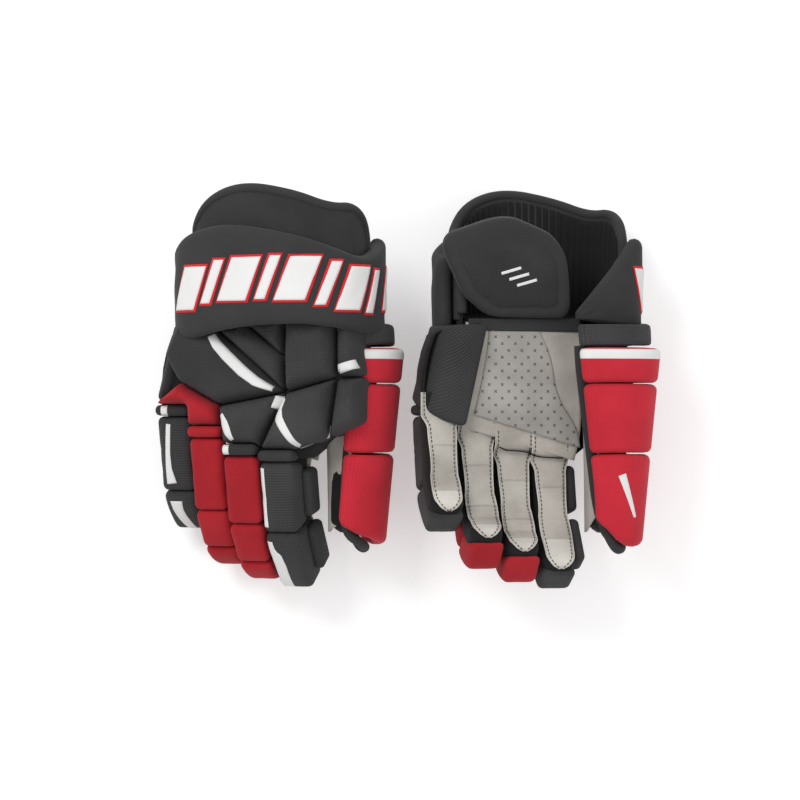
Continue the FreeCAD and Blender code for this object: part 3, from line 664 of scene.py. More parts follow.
def finger_pad(finger, number):
    """The boxy pad on one finger segment, with ends that lean to meet its neighbours."""
    length = FINGERS[finger]["lengths"][number]
    last = number + 1 == len(FINGERS[finger]["lengths"])
    near_lean = math.tan(math.radians(CURLS[0] if number == 0 else CURLS[number] / 2))
    far_lean = 0 if last else math.tan(math.radians(CURLS[number + 1] / 2))
    half = np.array([PAD_HALF_WIDTH, (length + (5 if last else 0)) / 2, 13.0])
    points, faces, cloth = block(half, 5.5)
    x, b, c = points[:, 0], points[:, 1] / half[1], points[:, 2] / half[2]
    t = (1 - b) / 2
    droop = t ** 3 if last else 0 * t
    low, high = 2.5 - 11 * droop, 28.4 - 8 * droop
    z = low + (high - low) * (c + 1) / 2
    z += 1.6 * (1 - np.abs(x / half[0]) ** 4) * (1 - np.abs(b) ** 4) * (c > 0) * c
    z += wrinkled(points, 0.35, 13.0, number + len(finger)) * (c > 0)
    near, far = z * near_lean - GAP, -(length + (5.0 if last else z * far_lean - GAP))
    y = near * (1 - t) + far * t
    x = x * (1 - 0.10 * droop) + wrinkled(points, 0.3, 9.0, number) * (1 - np.abs(b) ** 6)
    made = carry(CHAINS[finger][number], np.column_stack([x, y, z]))
    return made, turned_out(made, faces), cloth


def side_roll(start, end):
    """A soft roll on the thumb side of the index finger."""
    half = np.array([5.5, (start - end) / 2, 11.0])
    points, faces, cloth = block(half, 5.0)
    points = points + np.array([18.3, (start + end) / 2, 0.5])
    return points, faces, cloth


for finger, spec in FINGERS.items():
    red = finger in ("middle", "ring")
    names = SEGMENT_NAMES[len(spec["lengths"])]
    for number, segment in enumerate(names):
        node_name = f"{finger}_tip" if red and segment == "tip" else f"{finger}_{segment}_pad"
        shape = finger_pad(finger, number)
        pad(f"{finger}_{segment}_padding", shape, red_weave if red else black_mesh, f"{finger}_{segment}",
            node_name, "red_weave" if red else "black_twill", up=CHAINS[finger][number][:3, 2])
for number, (start, end) in enumerate(((-6.0, -46.0), (-3.0, -44.0))):
    segment = SEGMENT_NAMES[2][number]
    points, faces, cloth = side_roll(start, end)
    shape = carry(CHAINS["index"][number], points), faces, cloth
    body = f"index_{segment}"
    pad(f"{body}_side_roll", shape, black_twill, body, f"{body}_pad", "black_twill")
print(len(PADS), "finger pads")

# %% Knuckle rolls
for finger, spec in FINGERS.items():
    points, faces, cloth = block((15.8, 4.6, 10.5), 4.4, step=2.0)
    points[:, 2] += 1.2 * (1 - (points[:, 0] / 15.8) ** 2) * (points[:, 2] > 0)
    points += np.array([spec["x"], spec["knuckle"] + 4.7, 43.0 - spec["drop"]])
    material, slot = (red_weave, "red_weave") if finger == "ring" else (black_twill, "black_twill")
    pad(f"{finger}_knuckle_roll", (points, faces, cloth), material, "hand", "knuckle_rolls", slot)

# %% Pads on the back of the hand
WRIST = {"outer_wrist": (-74, 63), "outer_side": (-86, 37), "outer_notch": (-73, 14), "valley": (-36, -6),
         "centre": (24, 5), "cuff_corner": (-38, 58), "cuff_middle": (-14, 64), "roll_left": (24, 69),
         "triangle_foot": (23, 34), "roll_right": (68, 69), "roll_foot": (68, 17), "radial_top": (85, 62),
         "radial_foot": (90, 18), "radial_low": (88, -21), "radial_toe": (60, -34)}


def edge_of(finger, side):
    """Where a hand pad ends above one side of a knuckle roll."""
    spec = FINGERS[finger]
    return spec["x"] + side * 15.7, spec["knuckle"] + 9.6


def hand_pad(name, corners, node_name, low=33.0, high=57.2, material=black_mesh, **more):
    """A pillow between corners that it shares with its neighbours."""
    outline = [WRIST[corner] for corner in corners.split()]
    shape = pillow(outline, low, high, seed=float(len(PADS)), **more)
    slot = "red_weave" if material is red_weave else "black_twill"
    pad(f"{name}_padding", shape, material, "hand", node_name, slot)


for finger in FINGERS:
    for side, end in ((-1, "outer"), (1, "inner")):
        WRIST[f"{finger}_{end}"] = edge_of(finger, side)

hand_pad("outer_long", "outer_wrist outer_side outer_notch valley centre cuff_corner", "backhand_outer_pads",
         low=30.0, edge=9, material=black_twill)
hand_pad("wrist_vee", "cuff_corner centre triangle_foot cuff_middle", "backhand_wrist_pads",
         high=56.0, heart=(0, 38))
hand_pad("wrist_triangle", "cuff_middle triangle_foot roll_left", "backhand_wrist_pads", high=55.0)
hand_pad("centre_roll", "roll_left triangle_foot centre roll_foot roll_right", "backhand_centre_rolls",
         high=58.0, edge=13, crown=3.2)
hand_pad("centre_side", "roll_right roll_foot radial_foot radial_top", "backhand_centre_rolls",
         low=22.0, high=50.0, edge=8)
hand_pad("index_main", "centre index_outer index_inner radial_toe roll_foot", "index_knuckle_pads",
         low=30.0, high=57.5, edge=13, crown=3.0)
hand_pad("index_side", "roll_foot radial_toe radial_low radial_foot", "index_knuckle_pads",
         low=20.0, high=49.0, edge=9)
hand_pad("ring_main", "outer_notch pinky_outer pinky_inner ring_outer ring_inner valley", "ring_knuckle_pads",
         low=28.0, high=56.0, edge=11, heart=(-60, -4), material=red_weave)
hand_pad("middle_main", "valley ring_inner middle_outer middle_inner index_outer centre",
         "middle_knuckle_pads", heart=(-12, -18))
print(len(PADS), "pads so far")


# %% Pads that wrap: the edge of the hand, the thumb and the cuff
def thumb_curve(along):
    """The thumb's outer face across y: from its palm-side edge, round its outer side, to its top edge."""
    share = (43.0 - along) / 164.0
    width, drawn_in = 58.0 - 16.0 * share, 7.0 * share
    left, right = 31.0 + 20.0 * share, 36.7 + width
    low, high = -38.0 + drawn_in, 18.0 - drawn_in
    height = high - low
    section = [(left, low + 4), (left + 6, low + 0.5), (right - 13, low), (right - 1, low + 0.3 * height),
               (right, high - 0.3 * height), (right - 10, high), (right - 0.4 * width, high)]
    return np.array([(x, along, z) for x, z in section])


edge_near = np.array([(-68, 62, 40), (-74, 60, 32), (-75, 60, 16), (-70, 60, 2), (-62, 62, -2.5),
                      (-43, 62, -2.5)])
edge_far = np.array([(-82, 4, 40), (-91, -4, 32), (-92, -8, 16), (-87, -14, 2), (-79, -20, -2),
                     (-62, -24, -2)])
shape = quilted(edge_near, edge_far, 9, radius=4, crown=1.6, sign=-1)
pad("outer_edge_padding", shape, black_twill, "hand", "backhand_outer_pads", "black_twill")

THUMB_MARKS = {"thumb_roll_padding": (43.0, 13.6), "thumb_mid_padding": (12.6, -45.4)}
for name, (start, end) in THUMB_MARKS.items():
    shape = quilted(thumb_curve(start), thumb_curve(end), 13, radius=5.5, crown=2.2, sign=-1, seed=start)
    pad(name, shape, red_bright, "hand", "thumb_base_pads", "red_weave")
heel_near, heel_far = thumb_curve(62.0), thumb_curve(44.2)
heel_near[:, 0], heel_far[:, 0] = np.minimum(heel_near[:, 0], 84), np.minimum(heel_far[:, 0], 88)
shape = quilted(heel_near, heel_far, 9, radius=3, crown=0.8, sign=-1)
pad("thumb_heel_padding", shape, black_mesh, "hand", "thumb_base_pads", "black_twill")
tip_far = thumb_curve(-121.0)
tip_far[:, 1] = (-98, -112, -125, -124, -119, -113, -102)
shape = quilted(thumb_curve(-46.6), tip_far, 13, radius=5.5, crown=2.2, sign=-1)
pad("thumb_long_padding", shape, red_bright, "thumb", "thumb_tip_pad", "red_weave")

CUFF_ARCH = [(-79, 16), (-80, 44), (-60, 66), (-18, 78), (42, 78), (78, 66), (95, 42), (96, 0), (88, -23),
             (32, -22)]    # x and z round the wrist, from the outer side over the back to the palm side
CUFF_LOW = [55, 50, 49, 58, 62, 59, 54, 54, 58, 67]
CUFF_HIGH = [118, 127, 140, 147, 136, 124, 116, 128, 140, 72]
cuff_near = np.array([(x, y, z) for (x, z), y in zip(CUFF_ARCH, CUFF_LOW)])
cuff_far = np.array([(x, y, z) for (x, z), y in zip(CUFF_ARCH, CUFF_HIGH)])
shape = quilted(cuff_near, cuff_far, 13, radius=6, crown=1.5, step=3.0)
pad("cuff_band_padding", shape, smooth_knit, "cuff", "cuff_band", "cuff_knit", fill=0.6)

FLAP = [(-64, 24), (-42, 6), (24, 5), (31, 9), (26, 56), (14, 76), (-22, 91), (-40, 91), (-82, 76), (-85, 64)]
FLAP_PLACE = shift(0, 62.8, 0) @ turn_x(-9.0) @ np.diag([1, 1, -1, 1.0])


def on_flap(shape):
    """Carries a shape drawn with its face up onto the flap, whose face looks down."""
    points, faces, cloth = shape
    made = carry(FLAP_PLACE, points)
    return made, turned_out(made, faces), cloth


shape = on_flap(pillow(FLAP, 0.5, 9.0, edge=7, crown=0.6, heart=(-24, 40), corner=12))
pad("flap_padding", shape, smooth_knit, "flap", "palm_flap", "mesh_cloth", fill=0.5, up=FLAP_PLACE[:3, 2])
panel = [(-24 + (x + 24) * 0.80, 41 + (y - 41) * 0.78) for x, y in FLAP]
shape = on_flap(pillow(panel, 6.0, 10.6, edge=4, crown=1.0, heart=(-24, 40), corner=10))
pad("flap_panel", shape, fine_mesh, "flap", "palm_flap", "mesh_cloth", fill=0.4)
print(len(PADS), "pads,", sum(len(piece["shape"][0]) for piece in PADS.values()), "points")

# %% [markdown]
# ## Swelling the pads
# Foam presses its cover outward from inside, so each pad is blown up a little by Blender's cloth simulation,
# with its seam held. Pads of one glove are simulated together as one mesh, and each point's move is capped.

# %% Cloth simulation
SWELL_CAP = 1.6        # mm that any point may move
HELD_SHARE = 0.3       # of a pad's points, the lowest, that its seam holds


PRESSURE = 4.0         # how hard the foam presses
FRAMES = 14            # how long it is left to press


def add_cloth(pillows):
    """Blender's cloth on the joined pads: pressure inside, no gravity, and the held points pinned."""
    cloth = pillows.modifiers.new("cloth", "CLOTH")
    cloth.settings.quality = 4
    cloth.settings.mass = 0.15
    cloth.settings.tension_stiffness = cloth.settings.compression_stiffness = 12
    cloth.settings.bending_stiffness = 0.3
    cloth.settings.vertex_group_mass = "held"
    cloth.settings.use_pressure = True
    cloth.settings.uniform_pressure_force = PRESSURE
    cloth.settings.effector_weights.gravity = 0
    cloth.collision_settings.use_collision = False


def settled(pillows, count):
    """Where each point is after the last frame, in mm."""
    scene = bpy.context.scene
    for number in range(1, FRAMES + 1):
        scene.frame_set(number)
    mesh = pillows.evaluated_get(bpy.context.evaluated_depsgraph_get()).to_mesh()
    moved = np.empty(count * 3)
    mesh.vertices.foreach_get("co", moved)
    return moved.reshape(-1, 3) * 1000


def swollen(pads):
    """Blow up every pad at once, and write the new points back."""
    points, faces, _ = join([piece["shape"] for piece in pads.values()])
    mesh = bpy.data.meshes.new("swelling")
    mesh.from_pydata((points / 1000).tolist(), [], faces)
    pillows = bpy.data.objects.new("swelling", mesh)
    bpy.context.scene.collection.objects.link(pillows)
    held = pillows.vertex_groups.new(name="held")
    start = 0
    for piece in pads.values():
        own = piece["shape"][0]
        lowest = np.argsort(own @ piece["up"])[:int(len(own) * HELD_SHARE)]
        held.add((lowest + start).tolist(), 1.0, "REPLACE")
        start += len(own)
    add_cloth(pillows)
    move = settled(pillows, len(points)) - points
    size = np.linalg.norm(move, axis=1, keepdims=True)
    move *= SWELL_CAP * np.tanh(size / SWELL_CAP) / np.maximum(size, 1e-9)
    bpy.context.scene.frame_set(1)
    bpy.data.objects.remove(pillows)
    start = 0
    for piece in pads.values():
        old, faces, cloth_points = piece["shape"]
        piece["shape"] = (old + move[start:start + len(old)], faces, cloth_points)
        start += len(old)
    print("cloth moved points up to", round(float(size.max()), 2), "mm, kept to", SWELL_CAP)


swollen(PADS)


# %% Lay the pads on both gloves
def body_name(body, side):
    """A body's own name on one glove. The two hands are one body, the pair."""
    return "glove_pair" if body == "hand" else f"{side}_{body}"


def node_name(name, side):
    """The name that a solid or piece has on one glove."""
    return name if name in frame["nodes"] else f"{side}_{name}"


def finished(piece, side, replaces):
    """Hides the solids that a piece stands for, and gives the piece back."""
    if replaces:
        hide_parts(*[node_name(one, side) for one in replaces])
    return piece


def lay(name, shape, material, body, replaces=()):
    """One piece on each glove, riding its body."""
    made = []
    for side in SIDES:
        piece = build(name, shape, side, material)
        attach(piece, body_name(body, side))
        made.append(finished(piece, side, replaces))
    return made


def lay_bent(name, shape, material, bodies, start, end, slot, replaces=()):
    """One piece on each glove, laid where that glove lies between two bodies; it does not bend and rides
    neither body.
    """
    made = []
    for side in SIDES:
        piece = build(name, shape, side, material)
        first, second = (body_name(body, side) for body in bodies)
        ends = [tuple(carry(LAID[side], np.array(point, float))) for point in (start, end)]
        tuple(ends[0])
        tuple(ends[1])
        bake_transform(piece)
        made.append(finished(piece, side, replaces))
    return made


def declare_sheets(pieces, grid, rests_on, closed=False):
    """Measures the flat size of pieces along the grid that shaped them, and prints it."""
    around = np.concatenate([grid, grid[:, :1]], axis=1) if closed else grid
    width = np.linalg.norm(np.diff(around, axis=1), axis=2).sum(1).max() / 1000
    length = np.linalg.norm(np.diff(around, axis=0), axis=2).sum(0).max() / 1000
    width, length = math.ceil(width * 1000) / 1000, math.ceil(length * 1000) / 1000
    for piece in pieces:
        named = [node_name(one, piece.name.split("_")[0]) for one in rests_on]
    print("sheet", pieces[0].name, round(width * 1000), "x", round(length * 1000), "mm flat")


for name, piece in PADS.items():
    lay(name, piece["shape"], piece["material"], piece["body"], [piece["node"]])

# %% [markdown]
# ## Finger sleeves
# Behind its pads a finger is a tube of stretch cloth with a strip of leather on the palm side, sewn with a
# running stitch. The tube must bend at each joint, so it is cut half-way along each segment, where nothing
# bends; each length spans one bend, but only the length at the fingertip rides a body, and the others are
# only laid in place.

# %% Rows along a finger
BEND_REACH = 8.0                 # mm each side of a bend over which a sleeve turns
SLEEVE_HALF = (14.4, 12.2)       # half of a sleeve's width and height
SLEEVE_DROP = 1.2                # how far a sleeve's middle lies below the bend line
STRIP_FLARE = 16.5               # half of a strip's width where it joins the palm


def ease(value):
    """A smooth step from 0 to 1."""
    value = min(1.0, max(0.0, value))
    return value * value * (3 - 2 * value)


def place_along(finger, s):
    """The frame at a distance s past the knuckle, turning smoothly at each bend."""
    spec, chain = FINGERS[finger], CHAINS[finger]
    straight = shift(spec["x"], spec["knuckle"], PALM_TO_BEND - spec["drop"])
    here, start = straight @ shift(0, -s, 0), 0.0
    for number, frame_here in enumerate(chain):
        share = ease((s - start + BEND_REACH) / (2 * BEND_REACH))
        here = here * (1 - share) + share * (frame_here @ shift(0, -(s - start), 0))
        start += spec["lengths"][number]
    return here


def sleeve_rows(finger, marks):
    """The sleeve's section at each mark: a rounded box, closing at the fingertip."""
    total = sum(FINGERS[finger]["lengths"])
    angles = np.linspace(0, math.tau, 36, endpoint=False)
    c, s = np.cos(angles), np.sin(angles)
    across = np.sign(c) * np.abs(c) ** 0.5
    up = np.sign(s) * np.abs(s) ** 0.5
    rows = []
    for mark in marks:
        close = math.sqrt(max(0.02, 1 - max(0.0, (mark - total + 9) / 12) ** 2))
        ring = np.column_stack([SLEEVE_HALF[0] * close * across, 0 * across,
                                -SLEEVE_DROP + SLEEVE_HALF[1] * close * up])
        rows.append(carry(place_along(finger, mark), ring))
    return np.array(rows)


STRIP_WIDTHS = {"index": 12.6, "middle": 12.8, "ring": 12.6, "pinky": 11.6}


def strip_rows(finger, marks, inset=0.0, columns=9):
    """The leather strip's outer face: flat on the palm side, with a rounded end at the fingertip."""
    spec = FINGERS[finger]
    end = sum(spec["lengths"]) + 1.0
    rows = []
    for mark in marks:
        width = STRIP_WIDTHS[finger] + 0.6 * math.sin(mark / 9.0)
        width += (STRIP_FLARE - width) * ease((14.0 - mark) / 14.0)
        tail = max(0.0, (mark - end + width) / width)
        width = max(0.6, width * math.sqrt(max(0.0, 1 - tail ** 2)) - inset)
        x = np.linspace(-width, width, columns)
        bow = 0.9 * (x / STRIP_WIDTHS[finger]) ** 4
        floor = -14.4 + bow - 0.8 * math.cos(mark / 7.0) * 0.3
        rise = ease((4.0 - mark) / 16.0)
        floor = floor * (1 - rise) + rise * (-(PALM_TO_BEND - spec["drop"]) + 0.3)
        tip = max(0.0, mark - end + 7)
        rows.append(carry(place_along(finger, mark), np.column_stack([x, 0 * x, floor + tip ** 2 * 0.10])))
    return np.array(rows)


def finger_cuts(finger):
    """Where the sleeve is cut, with the two bodies that each length joins."""
    lengths = FINGERS[finger]["lengths"]
    names = SEGMENT_NAMES[len(lengths)]
    starts = np.concatenate([[0], np.cumsum(lengths)])
    total = starts[-1]
    cuts, begin, before = [], -20.0, "hand"
    for number, segment in enumerate(names):
        stop = starts[number] + lengths[number] / 2
        cuts.append((begin, stop, before, f"{finger}_{segment}", starts[number], segment))
        begin, before = stop, f"{finger}_{segment}"
    cuts.append((begin, total + 2.9, before, None, None, None))
    return cuts


def lay_length(finger, name, shape, material, cut, slot, replaces=()):
    """One length of a sleeve: at the fingertip it rides the tip's body, and elsewhere it is laid in place
    across the bend without riding a body.
    """
    _, _, before, after, bend, _ = cut
    if after is None:
        return lay(name, shape, material, before, replaces)
    start, end = (place_along(finger, bend + reach)[:3, 3] for reach in (-BEND_REACH, BEND_REACH))
    return lay_bent(name, shape, material, (before, after), start, end, slot, replaces)


def lay_sleeve(finger, number, cut):
    """One length of a finger's sleeve, with its strip of leather, stitches and raw rims."""
    begin, stop, _, after, _, segment = cut
    marks = np.linspace(begin, stop, max(6, int((stop - begin) / 1.8)))
    capped = segment == "tip" and len(FINGERS[finger]["lengths"]) == 3
    stands_for = [f"{finger}_{segment}_sleeve"] if segment and not capped else []
    rows = sleeve_rows(finger, marks)
    pieces = lay_length(finger, f"{finger}_gusset_{number}", slab(rows, 1.0, closed=True), stretch_black,
                        cut, "stretch_cloth", stands_for)
    declare_sheets(pieces, rows, [f"{finger}_{(segment or 'base')}_padding"], closed=True)
    if after is None:
        marks = np.linspace(begin, sum(FINGERS[finger]["lengths"]) + 0.9, len(marks))
    rows = strip_rows(finger, marks)
    hide = pale_hide if after is None else palm_hide
    pieces = lay_length(finger, f"{finger}_strip_{number}", slab(rows, 1.1), hide, cut, "palm_hide")
    declare_sheets(pieces, rows, [f"{finger}_gusset_{number}"])
    inner = strip_rows(finger, marks, inset=2.2)
    facing = np.array([-place_along(finger, mark)[:3, 2] for mark in marks])
    seams = join([stitches(inner[:, column], facing) for column in (0, -1)])
    lay_length(finger, f"{finger}_strip_stitches_{number}", seams, thread_dark, cut, "stretch_cloth")
    rims = join([tube(rows[:, column], 0.55, sides=6, up=facing) for column in (0, -1)])
    lay_length(finger, f"{finger}_strip_rim_{number}", rims, pale_hide, cut, "palm_hide")


for finger in FINGERS:
    for number, cut in enumerate(finger_cuts(finger)):
        lay_sleeve(finger, number, cut)
print("finger sleeves laid")

# %% [markdown]
# ## Leather of the palm, and the cloth behind the pads
# The palm is one sheet of leather with a second, printed one sewn over it. Behind the pads a black cloth
# closes the back and the sides of the hand, so that no gap between two pads shows through.


# %% Sheets between two edges
def ruled(left, right, rows=40, columns=30):
    """A grid of points between two edge curves."""
    left, right = (evenly(edge, np.linspace(0, 1, rows)) for edge in (left, right))
    across = np.linspace(0, 1, columns)[None, :, None]
    return left[:, None] * (1 - across) + right[:, None] * across


def flat_cloth(grid):
    """Cloth coordinates of a nearly flat sheet: its own x and y."""
    return np.stack([grid[..., 0], grid[..., 1], 0 * grid[..., 0]], axis=2)


def puckered(grid, lift):
    """A grid lifted and lowered at random, as leather that has been worn."""
    moved = grid.copy()
    moved[..., 2] += wrinkled(grid.reshape(-1, 3), lift, 26.0, 4).reshape(grid.shape[:2])
    return moved


def lay_leather(name, grid, thickness, material, node):
    """A sheet of the palm's leather, with its own flat size measured and printed."""
    pieces = lay(name, slab(grid, thickness, cloth=flat_cloth(grid)), material, "hand", [node])
    declare_sheets(pieces, grid, ["backhand_plates"])


outer_edge = [(-60, 64, 0), (-62, 40, 0), (-66, 16, 0), (-82, -2, 0.4), (-96, -15, 3.2)]
inner_edge = [(41, 64, 0), (41, 30, 0), (41, 0, 0), (41, -30, 0.4), (36, -53, 3.2)]
palm = puckered(ruled(outer_edge, inner_edge, 60, 50), 0.8)
lay_leather("palm_leather", palm[:, ::-1], 1.6, palm_hide, "palm_leathers")
heel = [(-40, 57, -1.2), (-43, 30, -1.2), (-53, -14, -1.2)]
thumb_edge = [(4, 57, -1.2), (15, 34, -1.2), (19, 2, -1.2), (38, -26, -1.2), (40, -42, -1.2)]
overlay = puckered(ruled(heel, thumb_edge, 50, 40), 0.5)
lay_leather("palm_overlay", overlay[:, ::-1], 1.1, overlay_hide, "palm_overlays")
down = np.array([0, 0, -1.0])
for number, inset in enumerate((2.0, 4.6)):
    edges = {"heel": overlay[:, 0] + (inset, 0, 0), "thumb": overlay[:, -1] - (inset, 0, 0),
             "low": overlay[-1] + (0, inset, 0)}
    for name, edge in edges.items():
        path = spaced(edge[2:-2], 1.0)
        path[:, 2] -= 0.25
        shape = stitches(path, np.broadcast_to(down, path.shape))
        lay(f"overlay_stitches_{name}_{number}", shape, thread_dark, "hand")

# %% Back cloth and side walls
back = [(-84, 61), (-94, 34), (-97, 2), (-96, -10), (-66, -12), (-64, -28), (-34, -30), (-32, -44), (-2, -46),
        (0, -50), (32, -52), (40, -46), (60, -30), (84, -18), (86, 20), (82, 62), (40, 68), (-40, 64)]
path = spaced(softened(back, 1), 3.0, closed=True)
heart = np.array([-8.0, 10.0])
profile = ((0.0, 2.0), (0.0, 12.0), (0.0, 22.0), (0.01, 32.0), (0.04, 38.5), (0.12, 40.6), (0.5, 40.8),
           (0.97, 40.9))    # share of the way in to the heart, and height
rows = []
for share, height in profile:
    ring = heart + (path - heart) * (1 - share)
    rows.append(np.column_stack([ring, np.full(len(ring), height)]))
rows = np.array(rows)
pieces = lay("hand_back_cloth", slab(rows, 1.0, closed=True), stretch_black, "hand",
             ["hand_gussets"])
declare_sheets(pieces, rows, ["backhand_plates"], closed=True)

# %% Thumb sleeve
rows = []
for along in np.linspace(40, -114, 60):
    curve = thumb_curve(along)
    close = math.sqrt(max(0.03, 1 - max(0.0, (-along - 102) / 13) ** 2))
    low, high, right = curve[:, 2].min() + 9, curve[:, 2].max() - 3, curve[:, 0].max() - 9
    angles = np.linspace(0, math.tau, 32, endpoint=False)
    c, s = np.cos(angles), np.sin(angles)
    x = (47 + right) / 2 + (right - 47) / 2 * close * np.sign(c) * np.abs(c) ** 0.6
    z = (low + high) / 2 + (high - low) / 2 * close * np.sign(s) * np.abs(s) ** 0.6
    rows.append(np.column_stack([x, np.full(32, along), z]))
rows = np.array(rows)
THUMB_BEND = (("hand", "thumb"), (60, -40, 0), (60, -52, 0))    # bodies, and where the bend starts and ends
pieces = lay_bent("thumb_gusset", slab(rows, 1.0, closed=True), stretch_black, *THUMB_BEND, "stretch_cloth",
                  ["thumb_base_sleeves"])
declare_sheets(pieces, rows, ["thumb_guard_plate"], closed=True)


def thumb_leather(along, reach=1.0):
    """The leather on the index-finger side of the thumb, from the top round to the palm side."""
    curve = thumb_curve(along)
    low, high = curve[:, 2].min(), curve[:, 2].max()
    middle = (low + high) / 2
    section = [(70, high - 2.5), (58, high - 1.5), (48, high - 4), (44.5, high - 12), (44.5, middle),
               (45, low + 16), (50, low + 8)]
    return np.array([(x, along, middle + (z - middle) * reach) for x, z in section])


near, far = thumb_leather(-4), thumb_leather(-112, 0.8)
far[:, 1] = (-92, -106, -112, -114, -113, -108, -98)
near[:, 1] = (-20, -14, -6, -4, -4, -2, 4)
grid = ruled(near, far, 26, 60)
pieces = lay_bent("thumb_leather", slab(grid, 1.2), palm_hide, *THUMB_BEND, "palm_hide",
                  ["thumb_tip_sleeve"])
declare_sheets(pieces, grid, ["thumb_gusset"])
seams = []
for row in (2, -3):
    out = -grid_normals(grid)[row]
    seams += [stitches(grid[row], out), stitches(grid[row], -out)]
lay_bent("thumb_leather_stitches", join(seams), thread_dark, *THUMB_BEND, "stretch_cloth")


# %% Stiff guard plate inside the thumb's padding
def inside_thumb(along, depth):
    """The thumb's curve drawn in by a depth, without its two free edges."""
    curve = thumb_curve(along)[1:6]
    middle = np.array([curve[:, 0].min() + 14, along, (curve[:, 2].min() + curve[:, 2].max()) / 2])
    out = curve - middle
    return middle + out * (1 - depth / np.linalg.norm(out, axis=1, keepdims=True))


grid = ruled(inside_thumb(-48, 15), inside_thumb(-110, 15), 12, 30)
lay("thumb_guard_plate", slab(grid, 1.5), guard_plastic, "thumb", ["thumb_guard"])

# %% Binding round the thumb's padding
start, end = thumb_curve(44.0), tip_far
border = [start[0] + (0, 0, 6)]
for share in np.linspace(0.12, 0.9, 8):
    border.append(start[0] * (1 - share) + end[0] * share + (-1.5, 0, 5))
border += [point + offset for point, offset in zip(end, ((0, -2, 5), (0, -3, 5), (-1, -3, 6), (-4, -3, 4),
                                                          (-6, -3, 0), (-3, -3, -4), (0, -2, -5)))]
for share in np.linspace(0.9, 0.02, 8):
    border.append(start[-1] * (1 - share) + end[-1] * share + (-1, 0, -5))
border = spaced(softened(np.array(border), 3, closed=False), 2.0)
shape = tube(border, 4.3, sides=12)
for piece in lay_bent("thumb_binding", shape, smooth_knit, *THUMB_BEND, "cuff_knit"):
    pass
print("thumb laid")

# %% Collar
COLLAR_ARCH = [(-64, 8), (-65, 38), (-46, 54), (-10, 63), (36, 63), (66, 53), (82, 34), (83, 8)]
COLLAR_HIGH = [132, 139, 166, 178, 170, 158, 160, 140]
collar_near = np.array([(x, 66, z) for x, z in COLLAR_ARCH])
collar_far = np.array([(x, y, z) for (x, z), y in zip(COLLAR_ARCH, COLLAR_HIGH)])
shape = quilted(collar_near, collar_far, 4.5, radius=2.0, crown=0.8, step=3.0)
lay("wrist_collar_cloth", shape, fine_mesh, "hand", ["wrist_collars"])
rim = np.array([(x * 0.985, y, z - 2) for (x, z), y in zip(COLLAR_ARCH, COLLAR_HIGH)])
rim = np.vstack([[(-62, 72, 6)], rim, [(80, 76, 6)]])
rim = spaced(softened(rim, 3, closed=False), 2.5)
lay("collar_binding", tube(rim, 4.2, sides=12), smooth_knit, "hand")
inside_near = np.array([(x * 0.92 + 1, 66, max(z - 5, 12)) for x, z in COLLAR_ARCH])
inside_far = np.array([(x * 0.92 + 1, y - 6, max(z - 5, 12)) for (x, z), y in zip(COLLAR_ARCH, COLLAR_HIGH)])
count, ribs = 150, 34
lining = ruled(inside_near, inside_far, count, 24)
waves = 0.9 * np.sin(np.arange(count) / count * math.tau * ribs)
lining = lining + waves[:, None, None] * grid_normals(lining)
pieces = lay("collar_lining", slab(lining, 0.8), stretch_black, "hand")
declare_sheets(pieces, lining, ["wrist_collar_cloth"])
under_near = np.array([(x * 0.96, 60, max(z - 16, 4)) for x, z in COLLAR_ARCH])
under_far = np.array([(x * 0.96, 75, max(z - 3, 8)) for x, z in COLLAR_ARCH])
bridge = ruled(under_near, under_far, 90, 10)
pieces = lay("wrist_cloth", slab(bridge, 1.0), stretch_black, "hand")
declare_sheets(pieces, bridge, ["backhand_plates", "wrist_collar_cloth"])
print("collar laid")

# %% [markdown]
# ## Stripes, bars and marks
# White stripes are thin cloth laid on the pads. A ribbon starts as a strip of points above a pad, and each
# point drops onto the swollen surface below it, so that the stripe follows every crown and seam.

# %% Ribbons laid on pads
LIFT, TAPE = 0.35, 0.55    # how far a ribbon's face lies above its pad, and how thick it is


def skin(name):
    """A search tree of a pad's surface."""
    points, faces, _ = PADS[name]["shape"]
    return BVHTree.FromPolygons(points.tolist(), faces)


def dropped(tree, grid, into=None, lift=LIFT):
    """Each point of a grid on the surface: straight down a direction, or at the nearest place."""
    made = grid.copy()
    for row in range(grid.shape[0]):
        for column in range(grid.shape[1]):
            point = Vector(grid[row, column])
            if into is None:
                place, normal, _, _ = tree.find_nearest(point)
            else:
                place, normal, _, _ = tree.ray_cast(point - 50 * Vector(into), Vector(into))
            if place is not None:
                made[row, column] = place + lift * normal
            elif row > 0:
                made[row, column] = made[row - 1, column] + (grid[row, column] - grid[row - 1, column])
    return made


def ribbon(tree, path, widths, into):
    """A thin strip of cloth along a path, as wide at each point as widths says."""
    table = np.column_stack([np.asarray(path, float), np.asarray(widths, float)])
    dense = spaced(softened(table, 1, closed=False), 1.4)
    along = directions(dense[:, :3])
    side = np.cross(along, np.asarray(into, float))
    side /= np.maximum(np.linalg.norm(side, axis=1, keepdims=True), 1e-9)
    across = np.linspace(-0.5, 0.5, 5)
    grid = dense[:, None, :3] + side[:, None] * across[None, :, None] * dense[:, None, 3:4]
    laid = dropped(tree, grid, into)
    if (grid_normals(laid).mean((0, 1)) * np.asarray(into)).sum() > 0:
        laid = laid[:, ::-1]
    return slab(laid, TAPE)


